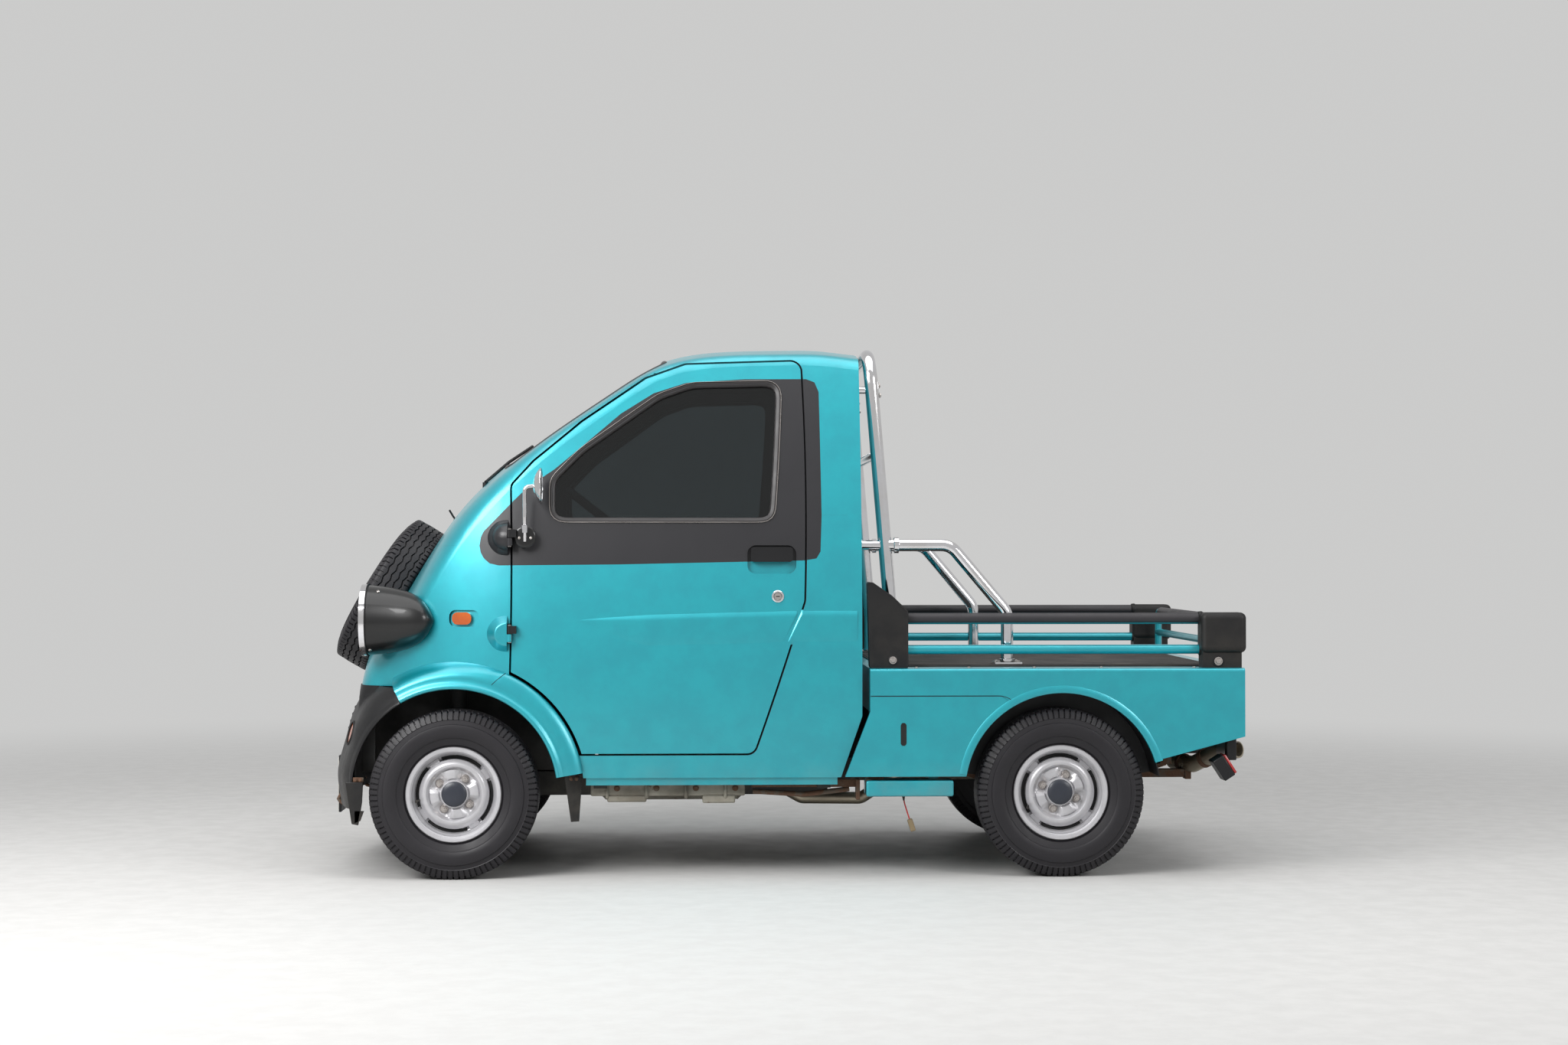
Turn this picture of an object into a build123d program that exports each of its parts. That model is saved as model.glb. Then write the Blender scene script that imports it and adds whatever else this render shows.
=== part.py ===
"""A small single-seat pick-up of the kei class: cab, flat deck with pipe rails, chrome roll hoop and
a spare wheel on its nose.  Millimetres; +X forward, +Y left, +Z up, ground at Z = 0."""
from build123d import *
import math
import os

# ---------------------------------------------------------------- driving dimensions
FRONT_AXLE_X = 1000.0
REAR_AXLE_X = -840.0
HALF_TRACK = 555.0
TYRE_RADIUS = 256.0
TYRE_WIDTH = 143.0
BEAD_RADIUS = 128.0
RIM_FLANGE_RADIUS = 144.0
HUB_BORE_RADIUS = 16.05
STUB_RADIUS = 16.0
AXLE_Z = TYRE_RADIUS

# cab side: an arc that leans in above the waist
SIDE_ARC_RADIUS = 2833.0
SIDE_ARC_Z = 630.0
SIDE_ARC_Y = 619.0 - SIDE_ARC_RADIUS
SILL_Z = 304.0
WALL = 45.0
GLASS = 5.0
GLASS_INSET = 12.0
PANEL_GAP = 6.0

# cab loft: x ahead of the front axle, share of the side's width, height on the centre line,
# crown of the top, corner radius, and how much of the wall's inset is taken along x
CAB_STATIONS = (
    (310, 0.66, 640, 120, 110, 0.92),
    (230, 0.74, 811, 110, 140, 0.88),
    (120, 0.84, 980, 95, 150, 0.84),
    (0, 0.93, 1147, 75, 130, 0.78),
    (-130, 0.985, 1268, 60, 100, 0.66),
    (-300, 1.0, 1394, 50, 75, 0.57),
    (-480, 1.0, 1516, 46, 70, 0.53),
    (-620, 1.0, 1598, 44, 65, 0.40),
    (-780, 1.0, 1632, 42, 62, 0.12),
    (-1000, 1.0, 1640, 42, 60, 0.0),
    (-1130, 1.0, 1638, 42, 60, 0.0),
    (-1234, 1.0, 1626, 42, 60, 0.0),
)

# seams between the cab's panels
NOSE_SEAM_X = 825.0
ROOF_SEAM_Z = 1540.0
BACK_SEAM_X = -188.0

# doors
DOOR_SHEAR = 0.28
DOOR_AXIS_X = 831.0
DOOR_AXIS_Y = 631.0
DOOR_PLANE_Y = 619.0
HINGE_HEIGHTS = (741.0, 1031.0)
HINGE_FACE_X = DOOR_AXIS_X + 8.0
# pockets as x0, x1, z0, z1, corner
HANDLE_POCKET = (-34, 114, 922, 1008, 26)
POCKET_DEPTH = 16.0
MARKER_POCKET = (926, 1018, 761, 812, 20)
MARKER_LENS = (949, 1009, 768, 805, 17)
MARKER_DEPTH = 7.0

# wheel arches
FRONT_ARCH_Z = 262.0
FRONT_ARCH_RADIUS = 312.0
FLARE_RADIUS = 392.0
FLARE_Y = 645.0
FLARE_FRONT = 60.0
BUMPER_TOP_Z = 577.0
REAR_ARCH_Z = 265.0
REAR_ARCH_RADIUS = 296.0

# steering: king pin from the lower ball joint to the top mount
KINGPIN_LOW = (500.0, 185.0)
KINGPIN_TOP = (424.0, 612.0)

# bed
BED_FRONT_X = -256.0
BED_REAR_X = -1398.0
BED_TOP_Z = 635.0
BED_LOW_Z = 309.0
BED_HALF_WIDTH = 645.0
BED_SHEET = 18.0
SEAM_Z = 552.0
SEAM_DEPTH = 3.0
RAIL_Y = 570.0
UPPER_RAIL_Z = 785.0
LOWER_RAIL_Z = 690.0
RAIL_TUBE_RADIUS = 12.0
SLEEVE_RADIUS = 16.5
LOWER_RAIL_RADIUS = 14.5
GATE_X = -1352.0
GATE_HINGE_Z = 652.0

# roll hoop
HOOP_RADIUS = 21.0
BRACE_RADIUS = 19.0
HOOP_Y = 452.0
HOOP_TOP_Z = 1600.0
HOOP_PLATE = 42.0
HOOP_FEET = (-337, -696)

# spare wheel on the nose
SPARE_X = FRONT_AXLE_X + 257.0
SPARE_Z = 848.0
SPARE_TILT = 30.8

# steering wheel
WHEEL_CENTRE = (545.0, 0.0, 1080.0)
WHEEL_RAKE = 38.0
WHEEL_RIM_RADIUS = 172.0

X_AXIS = (1, 0, 0)
Y_AXIS = (0, 1, 0)
SIDES = (1, -1)


# ---------------------------------------------------------------- small tools
def side_y(z):
    """Half width of the cab's outer skin at height z."""
    return SIDE_ARC_Y + math.sqrt(SIDE_ARC_RADIUS ** 2 - (z - SIDE_ARC_Z) ** 2)


def block(x0, x1, y0, y1, z0, z1):
    """A box between two corners."""
    size = (x1 - x0, y1 - y0, z1 - z0)
    centre = ((x0 + x1) / 2, (y0 + y1) / 2, (z0 + z1) / 2)
    return Pos(*centre) * Box(*size)


def rod(start, end, radius):
    """A round bar from start to end."""
    line = Vector(*end) - Vector(*start)
    plane = Plane(origin=start, z_dir=line)
    return extrude(plane * Circle(radius), amount=line.length)


def tube_path(points, bend, radius):
    """A round tube along straight runs with rounded bends."""
    wire = FilletPolyline(*points, radius=bend)
    start = Plane(origin=wire @ 0, z_dir=wire % 0)
    return sweep(start * Circle(radius), path=wire)


def side_prism(points, y0, y1, corner=0.0):
    """Extrudes an outline of (x, z) points across the vehicle from y0 to y1."""
    face = make_face(Polyline(*[(x, y0, z) for x, z in points], close=True))
    if corner:
        face = fillet(face.vertices(), corner)
    return extrude(face, amount=y1 - y0, dir=Y_AXIS)


def y_disc(x, z, radius, y0, y1):
    """A cylinder across the vehicle."""
    return rod((x, y0, z), (x, y1, z), radius)


def mirrored(shape):
    """The same piece on the right-hand side."""
    return mirror(shape, about=Plane.XZ)


def both(shape):
    """A left-hand piece and its mirror image, as separate solids."""
    return [shape, mirrored(shape)]


def largest(shape, count):
    """The biggest solids of a shape, without the shavings that cuts leave."""
    return sorted(shape.solids(), key=lambda solid: -solid.volume)[:count]


def save(name, *shapes):
    """Writes one node."""
    solids = []
    for shape in shapes:
        items = shape if isinstance(shape, list) else [shape]
        for item in items:
            solids.extend(item.solids())
    body = solids[0] if len(solids) == 1 else Compound(children=solids)
    export_step(body, f"parts/{name}.step")


# ---------------------------------------------------------------- cab skin
def cab_section(row, inset, floor):
    """One closed cross-section of the cab, moved in by the wall's thickness."""
    x, share, apex, crown, corner, lean = row
    x = FRONT_AXLE_X + x - inset * lean
    top = apex - inset * math.sqrt(1 - lean * lean)
    edge = top - crown
    middle = (floor + edge) / 2
    low_y, mid_y, top_y = [side_y(z) * share - inset for z in (floor, middle, edge)]
    face = make_face([
        Line((x, -low_y, floor), (x, low_y, floor)),
        ThreePointArc((x, low_y, floor), (x, mid_y, middle), (x, top_y, edge)),
        ThreePointArc((x, top_y, edge), (x, 0, top), (x, -top_y, edge)),
        ThreePointArc((x, -top_y, edge), (x, -mid_y, middle), (x, -low_y, floor)),
    ])
    shoulders = [v for v in face.vertices() if v.Z > edge - 1]
    return fillet(shoulders, max(corner - inset * 0.6, 25))


def cab_form(inset, floor):
    """The closed form of the cab at a depth below its skin."""
    rows = [list(row) for row in CAB_STATIONS]
    rows[-1][0] += inset
    return loft([cab_section(row, inset, floor) for row in rows])


def on_skin(points):
    """Outline points on the sheared door plane that land on the given skin points."""
    return [(FRONT_AXLE_X + x - DOOR_SHEAR * (DOOR_PLANE_Y - side_y(z)), z) for x, z in points]


def door_prism(points, corner, margin=0.0, reach=250.0):
    """A prism through the left wall whose edges slant rearwards on the way out."""
    outline = make_face(Polyline(*[(x, DOOR_PLANE_Y, z) for x, z in on_skin(points)], close=True))
    outline = fillet(outline.vertices(), corner)
    if margin:
        outline = offset(outline, margin)
    outline = outline.moved(Location((-DOOR_SHEAR * 60, 60, 0)))
    return extrude(outline, amount=reach, dir=(DOOR_SHEAR, -1, 0))


def pill_prism(x0, x1, z0, z1, corner):
    """A rounded slab through the left wall, for pockets and what sits in them."""
    return side_prism(((x0, z0), (x1, z0), (x1, z1), (x0, z1)), 480, 720, corner)


# outlines on the skin as (x ahead of the front axle, z)
DOOR_OUTLINE = (
    (-172, 560), (-172, 1190), (-239, 1264), (-385, 1386), (-580, 1522), (-700, 1566), (-1052, 1578),
    (-1058, 840), (-905, 378), (-340, 378),
)
DOOR_WINDOW = (
    (-296, 1082), (-296, 1205), (-385, 1296), (-620, 1464), (-720, 1500), (-990, 1507), (-966, 1082),
)


def windshield_prism():
    """The windshield opening, cut square to the glass."""
    plane = Plane(origin=(620, 0, 1440), x_dir=Y_AXIS, z_dir=(0.577, 0, 0.817))
    outline = plane * make_face(Polyline((-452, -300), (452, -300), (368, 285), (-368, 285), close=True))
    outline = fillet(outline.vertices(), 60)
    return extrude(outline, amount=200, both=True)


def rear_window_prism():
    """The window in the cab's back wall."""
    outline = Plane.YZ * make_face(Polyline((-330, 1150), (330, 1150), (300, 1480), (-300, 1480), close=True))
    outline = fillet(outline.vertices(), 45)
    return extrude(outline.moved(Location((-400, 0, 0))), amount=400)


def spare_plane(shift=0.0):
    """A plane across the spare wheel, its normal forwards and up."""
    tilt = math.radians(SPARE_TILT)
    normal = Vector(math.cos(tilt), 0, math.sin(tilt))
    return Plane(origin=Vector(SPARE_X, 0, SPARE_Z) + normal * shift, x_dir=Y_AXIS, z_dir=normal)


def build_cab():
    """Skin panels, glass and doors, cut from one form so that they meet."""
    skin = cab_form(0, SILL_Z)
    lining = cab_form(WALL, SILL_Z - 100)
    shell = skin - lining
    door = door_prism(DOOR_OUTLINE, 28)
    opening = door_prism(DOOR_OUTLINE, 28, PANEL_GAP, 262.0)
    window = door_prism(DOOR_WINDOW, 30)
    shield = windshield_prism()
    back_light = rear_window_prism()
    arch_gap = y_disc(FRONT_AXLE_X, FRONT_ARCH_Z, FLARE_RADIUS + 10, 400, 700)
    door -= arch_gap
    pane = cab_form(GLASS_INSET, SILL_Z) - cab_form(GLASS_INSET + GLASS, SILL_Z - 100)

    left_door = (shell & door) - window - (pill_prism(*HANDLE_POCKET) - cab_form(POCKET_DEPTH, SILL_Z))
    save("door_left", left_door)
    save("door_right", mirrored(left_door))
    save("door_glass_left", pane & window)
    save("door_glass_right", mirrored(pane & window))
    save("windshield", pane & shield & block(300, 1000, -700, 700, 1000, 1700))
    save("rear_window", pane & back_light)

    shell -= opening
    shell -= mirrored(opening)
    shell -= shield & block(300, 1000, -700, 700, 1000, 1700)
    shell -= back_light
    for side in SIDES:
        arch = y_disc(FRONT_AXLE_X, FRONT_ARCH_Z, FLARE_RADIUS, side * 336, side * 700)
        arch -= block(1188, 1400, *sorted((side * 330, side * 710)), BUMPER_TOP_Z, 700)
        shell -= arch + arch.moved(Location((0, 0, -150)))
    recess = extrude(spare_plane(-76) * Circle(TYRE_RADIUS + 18), amount=400)
    shell -= recess
    tail = side_prism(((-238, 502), (-169, 300), (-400, 300), (-400, 502)), -700, 700)
    shell -= tail

    nose = shell & block(NOSE_SEAM_X, 1500, -700, 700, 200, 1800)
    rest = shell & block(-400, NOSE_SEAM_X, -700, 700, 200, 1800)
    roof_zone = block(-400, NOSE_SEAM_X, -700, 700, ROOF_SEAM_Z, 1800)
    roof_zone += block(400, NOSE_SEAM_X, -700, 700, 1180, 1800)
    roof = rest & roof_zone
    rest -= roof_zone
    sides = rest & block(BACK_SEAM_X, NOSE_SEAM_X, -700, 700, 200, 1800)
    for side in SIDES:
        sides += block(-160, 602, *sorted((side * 580, side * 590)), 281, SILL_Z + 6)
    back_wall = rest & block(-400, BACK_SEAM_X, -700, 700, 200, 1800)
    save("cab_roof", largest(roof, 1))
    save("cab_sides", largest(sides, 2))
    save("cab_rear_wall", largest(back_wall, 1))
    return nose, lining


def hinge_dome(z):
    """The rounded boss that fairs a door hinge into the nose."""
    foot = skin_y(HINGE_FACE_X, z) - 6
    dome = scale(Sphere(1), by=(50, DOOR_AXIS_Y + 4 - foot, 47)).moved(Location((HINGE_FACE_X, foot, z)))
    dome &= block(HINGE_FACE_X, HINGE_FACE_X + 80, 500, 700, z - 60, z + 60)
    dome = dome - cab_form(20, SILL_Z) - door_prism(DOOR_OUTLINE, 28, PANEL_GAP, 262.0)
    return largest(dome, 1)[0]


def finish_nose(nose, flares):
    """The nose panel with its hinge bosses and the pockets of the amber lamps."""
    pocket = pill_prism(*MARKER_POCKET) - cab_form(MARKER_DEPTH, SILL_Z)
    nose = nose - flares - pocket - mirrored(pocket)
    nose = largest(nose, 1)[0]
    for z in HINGE_HEIGHTS:
        dome = hinge_dome(z)
        nose += dome
        nose += mirrored(dome)
    return nose


def build_floor(lining):
    """Floor pan with footwell, seat riser over the power unit and the two front wheel houses."""
    sheet = 16.0
    top = [(1235, 700), (1235, 322), (640, 322), (600, 600), (-150, 600), (-188, 600)]
    under = [(x, z - sheet) for x, z in reversed(top[2:])]
    pan = side_prism(top[2:] + under, -600, 600)
    pan += block(640, 1235, -600, 600, 322 - sheet, 322)
    pan += block(1219, 1235, -560, 560, 322, 700)
    for side in SIDES:
        inner = side * 322
        outer = side * 560
        house = y_disc(FRONT_AXLE_X, FRONT_ARCH_Z, FLARE_RADIUS - 20, inner, outer)
        space = y_disc(FRONT_AXLE_X, FRONT_ARCH_Z, FLARE_RADIUS - 32, inner + side * 12, outer + side * 60)
        well = space + block(FRONT_AXLE_X - 360, FRONT_AXLE_X + 360, *sorted((inner + side * 12, side * 700)),
                             0, FRONT_ARCH_Z)
        pan += house & block(500, 1400, -600, 600, 306, 800)
        pan -= well
    return pan & lining


def skin_y(x, z):
    """Half width of the outer skin near (x, z), from the stations' shares."""
    ahead = x - FRONT_AXLE_X
    for (x0, share0, *_), (x1, share1, *_) in zip(CAB_STATIONS, CAB_STATIONS[1:]):
        if ahead >= x1:
            share = share1 + (share0 - share1) * (ahead - x1) / (x0 - x1)
            return side_y(z) * share
    return side_y(z)


def flare_section(angle):
    """The arch panel's closed section in the plane at this angle round the wheel opening."""
    inner, outer = FRONT_ARCH_RADIUS, FLARE_RADIUS
    c, n = math.cos(math.radians(angle)), math.sin(math.radians(angle))
    seam = min(skin_y(FRONT_AXLE_X + outer * c, FRONT_ARCH_Z + outer * n), 617)

    def at(radius, y):
        return (FRONT_AXLE_X + radius * c, y, FRONT_ARCH_Z + radius * n)

    high = (seam + FLARE_Y) / 2 + 0.24 * (FLARE_Y - seam) + 4
    return make_face([
        Line(at(inner, FLARE_Y - 40), at(inner, FLARE_Y)),
        ThreePointArc(at(inner, FLARE_Y), at((inner + outer) / 2 + 14, high), at(outer, seam)),
        Line(at(outer, seam), at(outer - 10, seam - 22)),
        ThreePointArc(at(outer - 10, seam - 22), at((inner + outer) / 2 + 4, high - 22),
                      at(inner + 12, FLARE_Y - 40)),
        Line(at(inner + 12, FLARE_Y - 40), at(inner, FLARE_Y - 40)),
    ])


def build_arches():
    """Bulged front arch panels, lofted round each wheel opening."""
    return loft([flare_section(angle) for angle in (FLARE_FRONT, 80, 100, 124, 148, 172)])


def bumper_plan(z, nose_x, half, shrink=0.0):
    """The bumper's outline in plan at one height."""
    nose_x -= shrink
    half -= shrink
    corner = nose_x - 62
    outline = make_face([
        Line((1100, -half, z), (1100, half, z)),
        ThreePointArc((1100, half, z), (nose_x - 142, half - 34, z), (corner, half - 150, z)),
        ThreePointArc((corner, half - 150, z), (nose_x, 0, z), (corner, 150 - half, z)),
        ThreePointArc((corner, 150 - half, z), (nose_x - 142, 34 - half, z), (1100, -half, z)),
    ])
    return outline


# bumper levels: height, reach of the nose, half width
BUMPER_LEVELS = (
    (205, 1404, 618), (302, 1412, 630), (407, 1386, 632), (483, 1364, 632), (533, 1338, 628), (BUMPER_TOP_Z, 1294, 616),
)


def build_bumper(cab, flares):
    """Wrap-round bumper: a hollow form lofted through its plan outlines."""
    form = loft([bumper_plan(*row) for row in BUMPER_LEVELS])
    core = loft([bumper_plan(z - 22, nose_x, half, 24) for z, nose_x, half in BUMPER_LEVELS])
    form -= core
    form -= block(1000, 1270, -530, 530, 0, 800)
    for side in SIDES:
        form -= y_disc(FRONT_AXLE_X, FRONT_ARCH_Z, FRONT_ARCH_RADIUS, side * 400, side * 700)
        form -= rod((1300, side * 430, 430), (1500, side * 430, 430), 36)
    form -= block(1000, 1500, -540, 540, 0, 224)
    slope = math.tan(math.radians(FLARE_FRONT - 0.6))
    form -= side_prism([(FRONT_AXLE_X, FRONT_ARCH_Z), (FRONT_AXLE_X + 400, FRONT_ARCH_Z + 400 * slope),
                        (900, FRONT_ARCH_Z + 700), (900, FRONT_ARCH_Z)], -700, 700)
    return form - cab - flares


def build_lamps(form):
    """Headlamps on the wings, their bezels and lenses, and the small amber lamps."""
    lamp_x, lamp_y, lamp_z = FRONT_AXLE_X + 272, 478.0, 779.0
    # pod rings: distance behind the bezel, radius, outward shift
    rings = ((0, 108, 0), (60, 105, 5), (130, 86, 22), (190, 56, 46), (226, 22, 66))
    sections = [Plane(origin=(lamp_x - back, lamp_y + out, lamp_z), z_dir=X_AXIS) * Circle(radius)
                for back, radius, out in rings]
    pod = loft(sections) - form
    bezel = rod((lamp_x, lamp_y, lamp_z), (lamp_x + 18, lamp_y, lamp_z), 110)
    bezel -= rod((lamp_x, lamp_y, lamp_z), (lamp_x + 30, lamp_y, lamp_z), 92)
    bezel = fillet(bezel.edges().filter_by(GeomType.CIRCLE).sort_by(Axis.X)[-1], 6)
    lens = revolve(make_face([
        Line((0, 0), (25, 0)),
        ThreePointArc((25, 0), (21, 50), (8, 92)),
        Line((8, 92), (0, 92)),
        Line((0, 92), (0, 0)),
    ]), axis=Axis.X).moved(Location((lamp_x, lamp_y, lamp_z)))
    save("headlamp_pods", both(pod))
    save("headlamp_rims", both(bezel))
    save("headlamp_lenses", both(lens))
    marker = pill_prism(*MARKER_LENS) & (cab_form(-3, SILL_Z) - cab_form(MARKER_DEPTH, SILL_Z))
    turn = rod((1300, 430, 430), (1350, 430, 430), 36)
    save("side_lamps", both(marker), both(turn))


def tyre_solid():
    """A tyre about the Y axis: bulged walls, rounded shoulders and a flat tread."""
    half = TYRE_WIDTH / 2
    bead = 50.0
    profile = make_face([
        Line((BEAD_RADIUS, -bead), (BEAD_RADIUS, bead)),
        Line((BEAD_RADIUS, bead), (RIM_FLANGE_RADIUS, bead)),
        ThreePointArc((RIM_FLANGE_RADIUS, bead), (192, half), (240, 56)),
        ThreePointArc((240, 56), (252, 50), (TYRE_RADIUS, 40)),
        Line((TYRE_RADIUS, 40), (TYRE_RADIUS, -40)),
        ThreePointArc((TYRE_RADIUS, -40), (252, -50), (240, -56)),
        ThreePointArc((240, -56), (192, -half), (RIM_FLANGE_RADIUS, -bead)),
        Line((RIM_FLANGE_RADIUS, -bead), (BEAD_RADIUS, -bead)),
    ])
    return revolve(profile, axis=Axis.Y)


def rim_solid():
    """A pressed steel wheel about the Y axis, outer face towards +Y, with its hub and cap."""
    outline = [
        (RIM_FLANGE_RADIUS, -58), (RIM_FLANGE_RADIUS, -50), (BEAD_RADIUS, -50), (BEAD_RADIUS, 50),
        (RIM_FLANGE_RADIUS, 50), (RIM_FLANGE_RADIUS, 58), (124, 58), (120, 30), (104, 30),
        (96, 12), (78, 12), (72, 26), (52, 26), (46, 34), (30, 34), (26, 46), (0, 46), (0, 40),
        (HUB_BORE_RADIUS, 40), (HUB_BORE_RADIUS, -12), (34, -12), (34, 16), (66, 16), (74, 2), (98, 2),
        (108, 20), (114, 20), (118, -40), (122, -58),
    ]
    wheel = revolve(make_face(Polyline(*[(r, y) for r, y in outline], close=True)), axis=Axis.Y)
    slot = Pos(0, 0, 87) * Rot(90, 0, 0) * extrude(SlotOverall(30, 12), amount=60, both=True)
    for index in range(12):
        wheel -= Rot(0, index * 30, 0) * slot
    for index in range(4):
        wheel += Rot(0, 45 + index * 90, 0) * rod((0, 20, 55), (0, 38, 55), 9)
    return wheel


def build_wheels():
    """Four road wheels and the spare."""
    tyre = tyre_solid()
    rim = rim_solid()
    for end, x in (("front", FRONT_AXLE_X), ("rear", REAR_AXLE_X)):
        for name, side in (("left", 1), ("right", -1)):
            turn = Location((x, side * HALF_TRACK, AXLE_Z), (0, 0, 0 if side == 1 else 180))
            save(f"tyre_{end}_{name}", tyre.moved(turn))
            save(f"rim_{end}_{name}", rim.moved(turn))
    spare = Location(spare_plane()) * Location((0, 0, 0), (90, 0, 0))
    bracket = rod((0, -76, 0), (0, -8, 0), 40)
    save("spare_tyre", tyre.moved(spare))
    save("spare_rim", (rim + bracket).moved(spare))


def build_knuckles():
    """Front stub axles with brake drums, steering arms and struts: they turn about the king pins."""
    low_y, low_z = KINGPIN_LOW
    top_y, top_z = KINGPIN_TOP
    x = FRONT_AXLE_X
    hub = y_disc(x, AXLE_Z, STUB_RADIUS, 470, HALF_TRACK + 38)
    drum = y_disc(x, AXLE_Z, 92, 478, 540)
    carrier = rod((x, low_y - 2, low_z + 12), (x, 452, 330), 20)
    strut = rod((x, 453, 300), (x, top_y, top_z), 20)
    spring = rod((x, 442, 400), (x, top_y + 2, top_z - 8), 26)
    arm = rod((x, 480, 236), (x - 130, 440, 236), 11)
    left = hub + drum + carrier + strut + spring + arm
    left -= block(x - 100, x + 100, 400, 600, 100, low_z + 14)
    save("knuckle_left", left)
    save("knuckle_right", mirrored(left))


def build_running_gear():
    """Ladder frame, suspension, axle, power unit, tank and exhaust."""
    rail_side = ((1240, 226), (1240, 300), (-120, 300), (-420, 420), (-1370, 420), (-1370, 350),
                 (-400, 350), (-100, 226))
    pieces = side_prism(rail_side, 262, 318)
    frame = pieces + mirrored(pieces)
    for x in (1215, 612):
        frame += block(x - 22, x + 22, -270, 270, 236, 290)
    frame += block(-152, -108, -270, 270, 226, 232) + block(-152, -108, -318, -262, 226, 260)
    for x in (-330, -1340):
        frame += block(x - 25, x + 25, -270, 270, 360, 410)
    for x in (-300, -620, -1060, -1340):
        frame += block(x - 22, x + 22, -600, 600, 590, 617)
        for side in SIDES:
            frame += block(x - 22, x + 22, *sorted((side * 262, side * 318)), 360, 600)
    for side in SIDES:
        for x in (560, -120):
            frame += block(x - 20, x + 20, *sorted((side * 300, side * 574)), 270, 304)
    save("frame_rails", frame)

    cross = block(FRONT_AXLE_X - 30, FRONT_AXLE_X + 30, -330, 330, 180, 226)
    low_y, low_z = KINGPIN_LOW
    for side in SIDES:
        cross += rod((FRONT_AXLE_X, side * 320, 200), (FRONT_AXLE_X, side * (low_y - 12), low_z - 12), 14)
        cross += rod((FRONT_AXLE_X + 190, side * 290, 214), (FRONT_AXLE_X, side * (low_y - 30), low_z - 10), 10)
        cross += rod((FRONT_AXLE_X, side * (low_y - 12), low_z - 26), (FRONT_AXLE_X, side * (low_y - 12), low_z - 6), 18)
    save("front_crossmember", cross)

    axle = y_disc(REAR_AXLE_X, AXLE_Z, 32, -478, 478)
    axle += y_disc(REAR_AXLE_X, AXLE_Z, STUB_RADIUS, -HALF_TRACK - 38, HALF_TRACK + 38)
    for side in SIDES:
        axle += y_disc(REAR_AXLE_X, AXLE_Z, 92, side * 478, side * 538)
    axle += Pos(REAR_AXLE_X, 0, AXLE_Z) * Sphere(105)
    axle += rod((REAR_AXLE_X, 0, AXLE_Z), (REAR_AXLE_X + 170, 0, AXLE_Z + 10), 42)
    save("rear_axle", axle)

    leaf = side_prism(((-480, 322), (-480, 334), (-840, 232), (-1200, 334), (-1200, 322), (-840, 200)), 370, 420)
    leaf = leaf - y_disc(REAR_AXLE_X, AXLE_Z, 32, 300, 500)
    hanger = block(-500, -465, 300, 424, 326, 350) + block(-1215, -1180, 300, 424, 326, 350)
    save("leaf_springs", both(leaf + hanger))

    unit = block(110, 580, -190, 190, 196, 560)
    unit = chamfer(unit.edges(), 24)
    unit += rod((130, 0, 300), (-60, 0, 290), 95)
    unit += rod((-20, 0, 262), (REAR_AXLE_X + 172, 0, AXLE_Z + 10), 24)
    unit += block(560, 590, -60, 60, 250, 290)
    save("power_unit", unit)
    tank = fillet(block(-760, -380, -240, -60, 300, 440).edges(), 18)
    save("fuel_tank", tank)
    muffler = y_disc(-1250, 372, 50, -180, 180)
    pipe = tube_path([(110, 150, 250), (20, 150, 250), (-70, 165, 200), (-260, 185, 200), (-430, 200, 316),
                      (-1080, 200, 316), (-1180, 140, 345), (-1230, 120, 360)], 36, 19)
    tip = tube_path([(-1250, 150, 355), (-1262, 230, 318), (-1300, 345, 318), (-1360, 440, 366),
                     (-1409.3, 500, 376)], 26, 26)
    tip -= rod((-1372, 455, 373), (-1440, 542, 382), 23)
    save("exhaust", muffler + pipe + tip)


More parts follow.
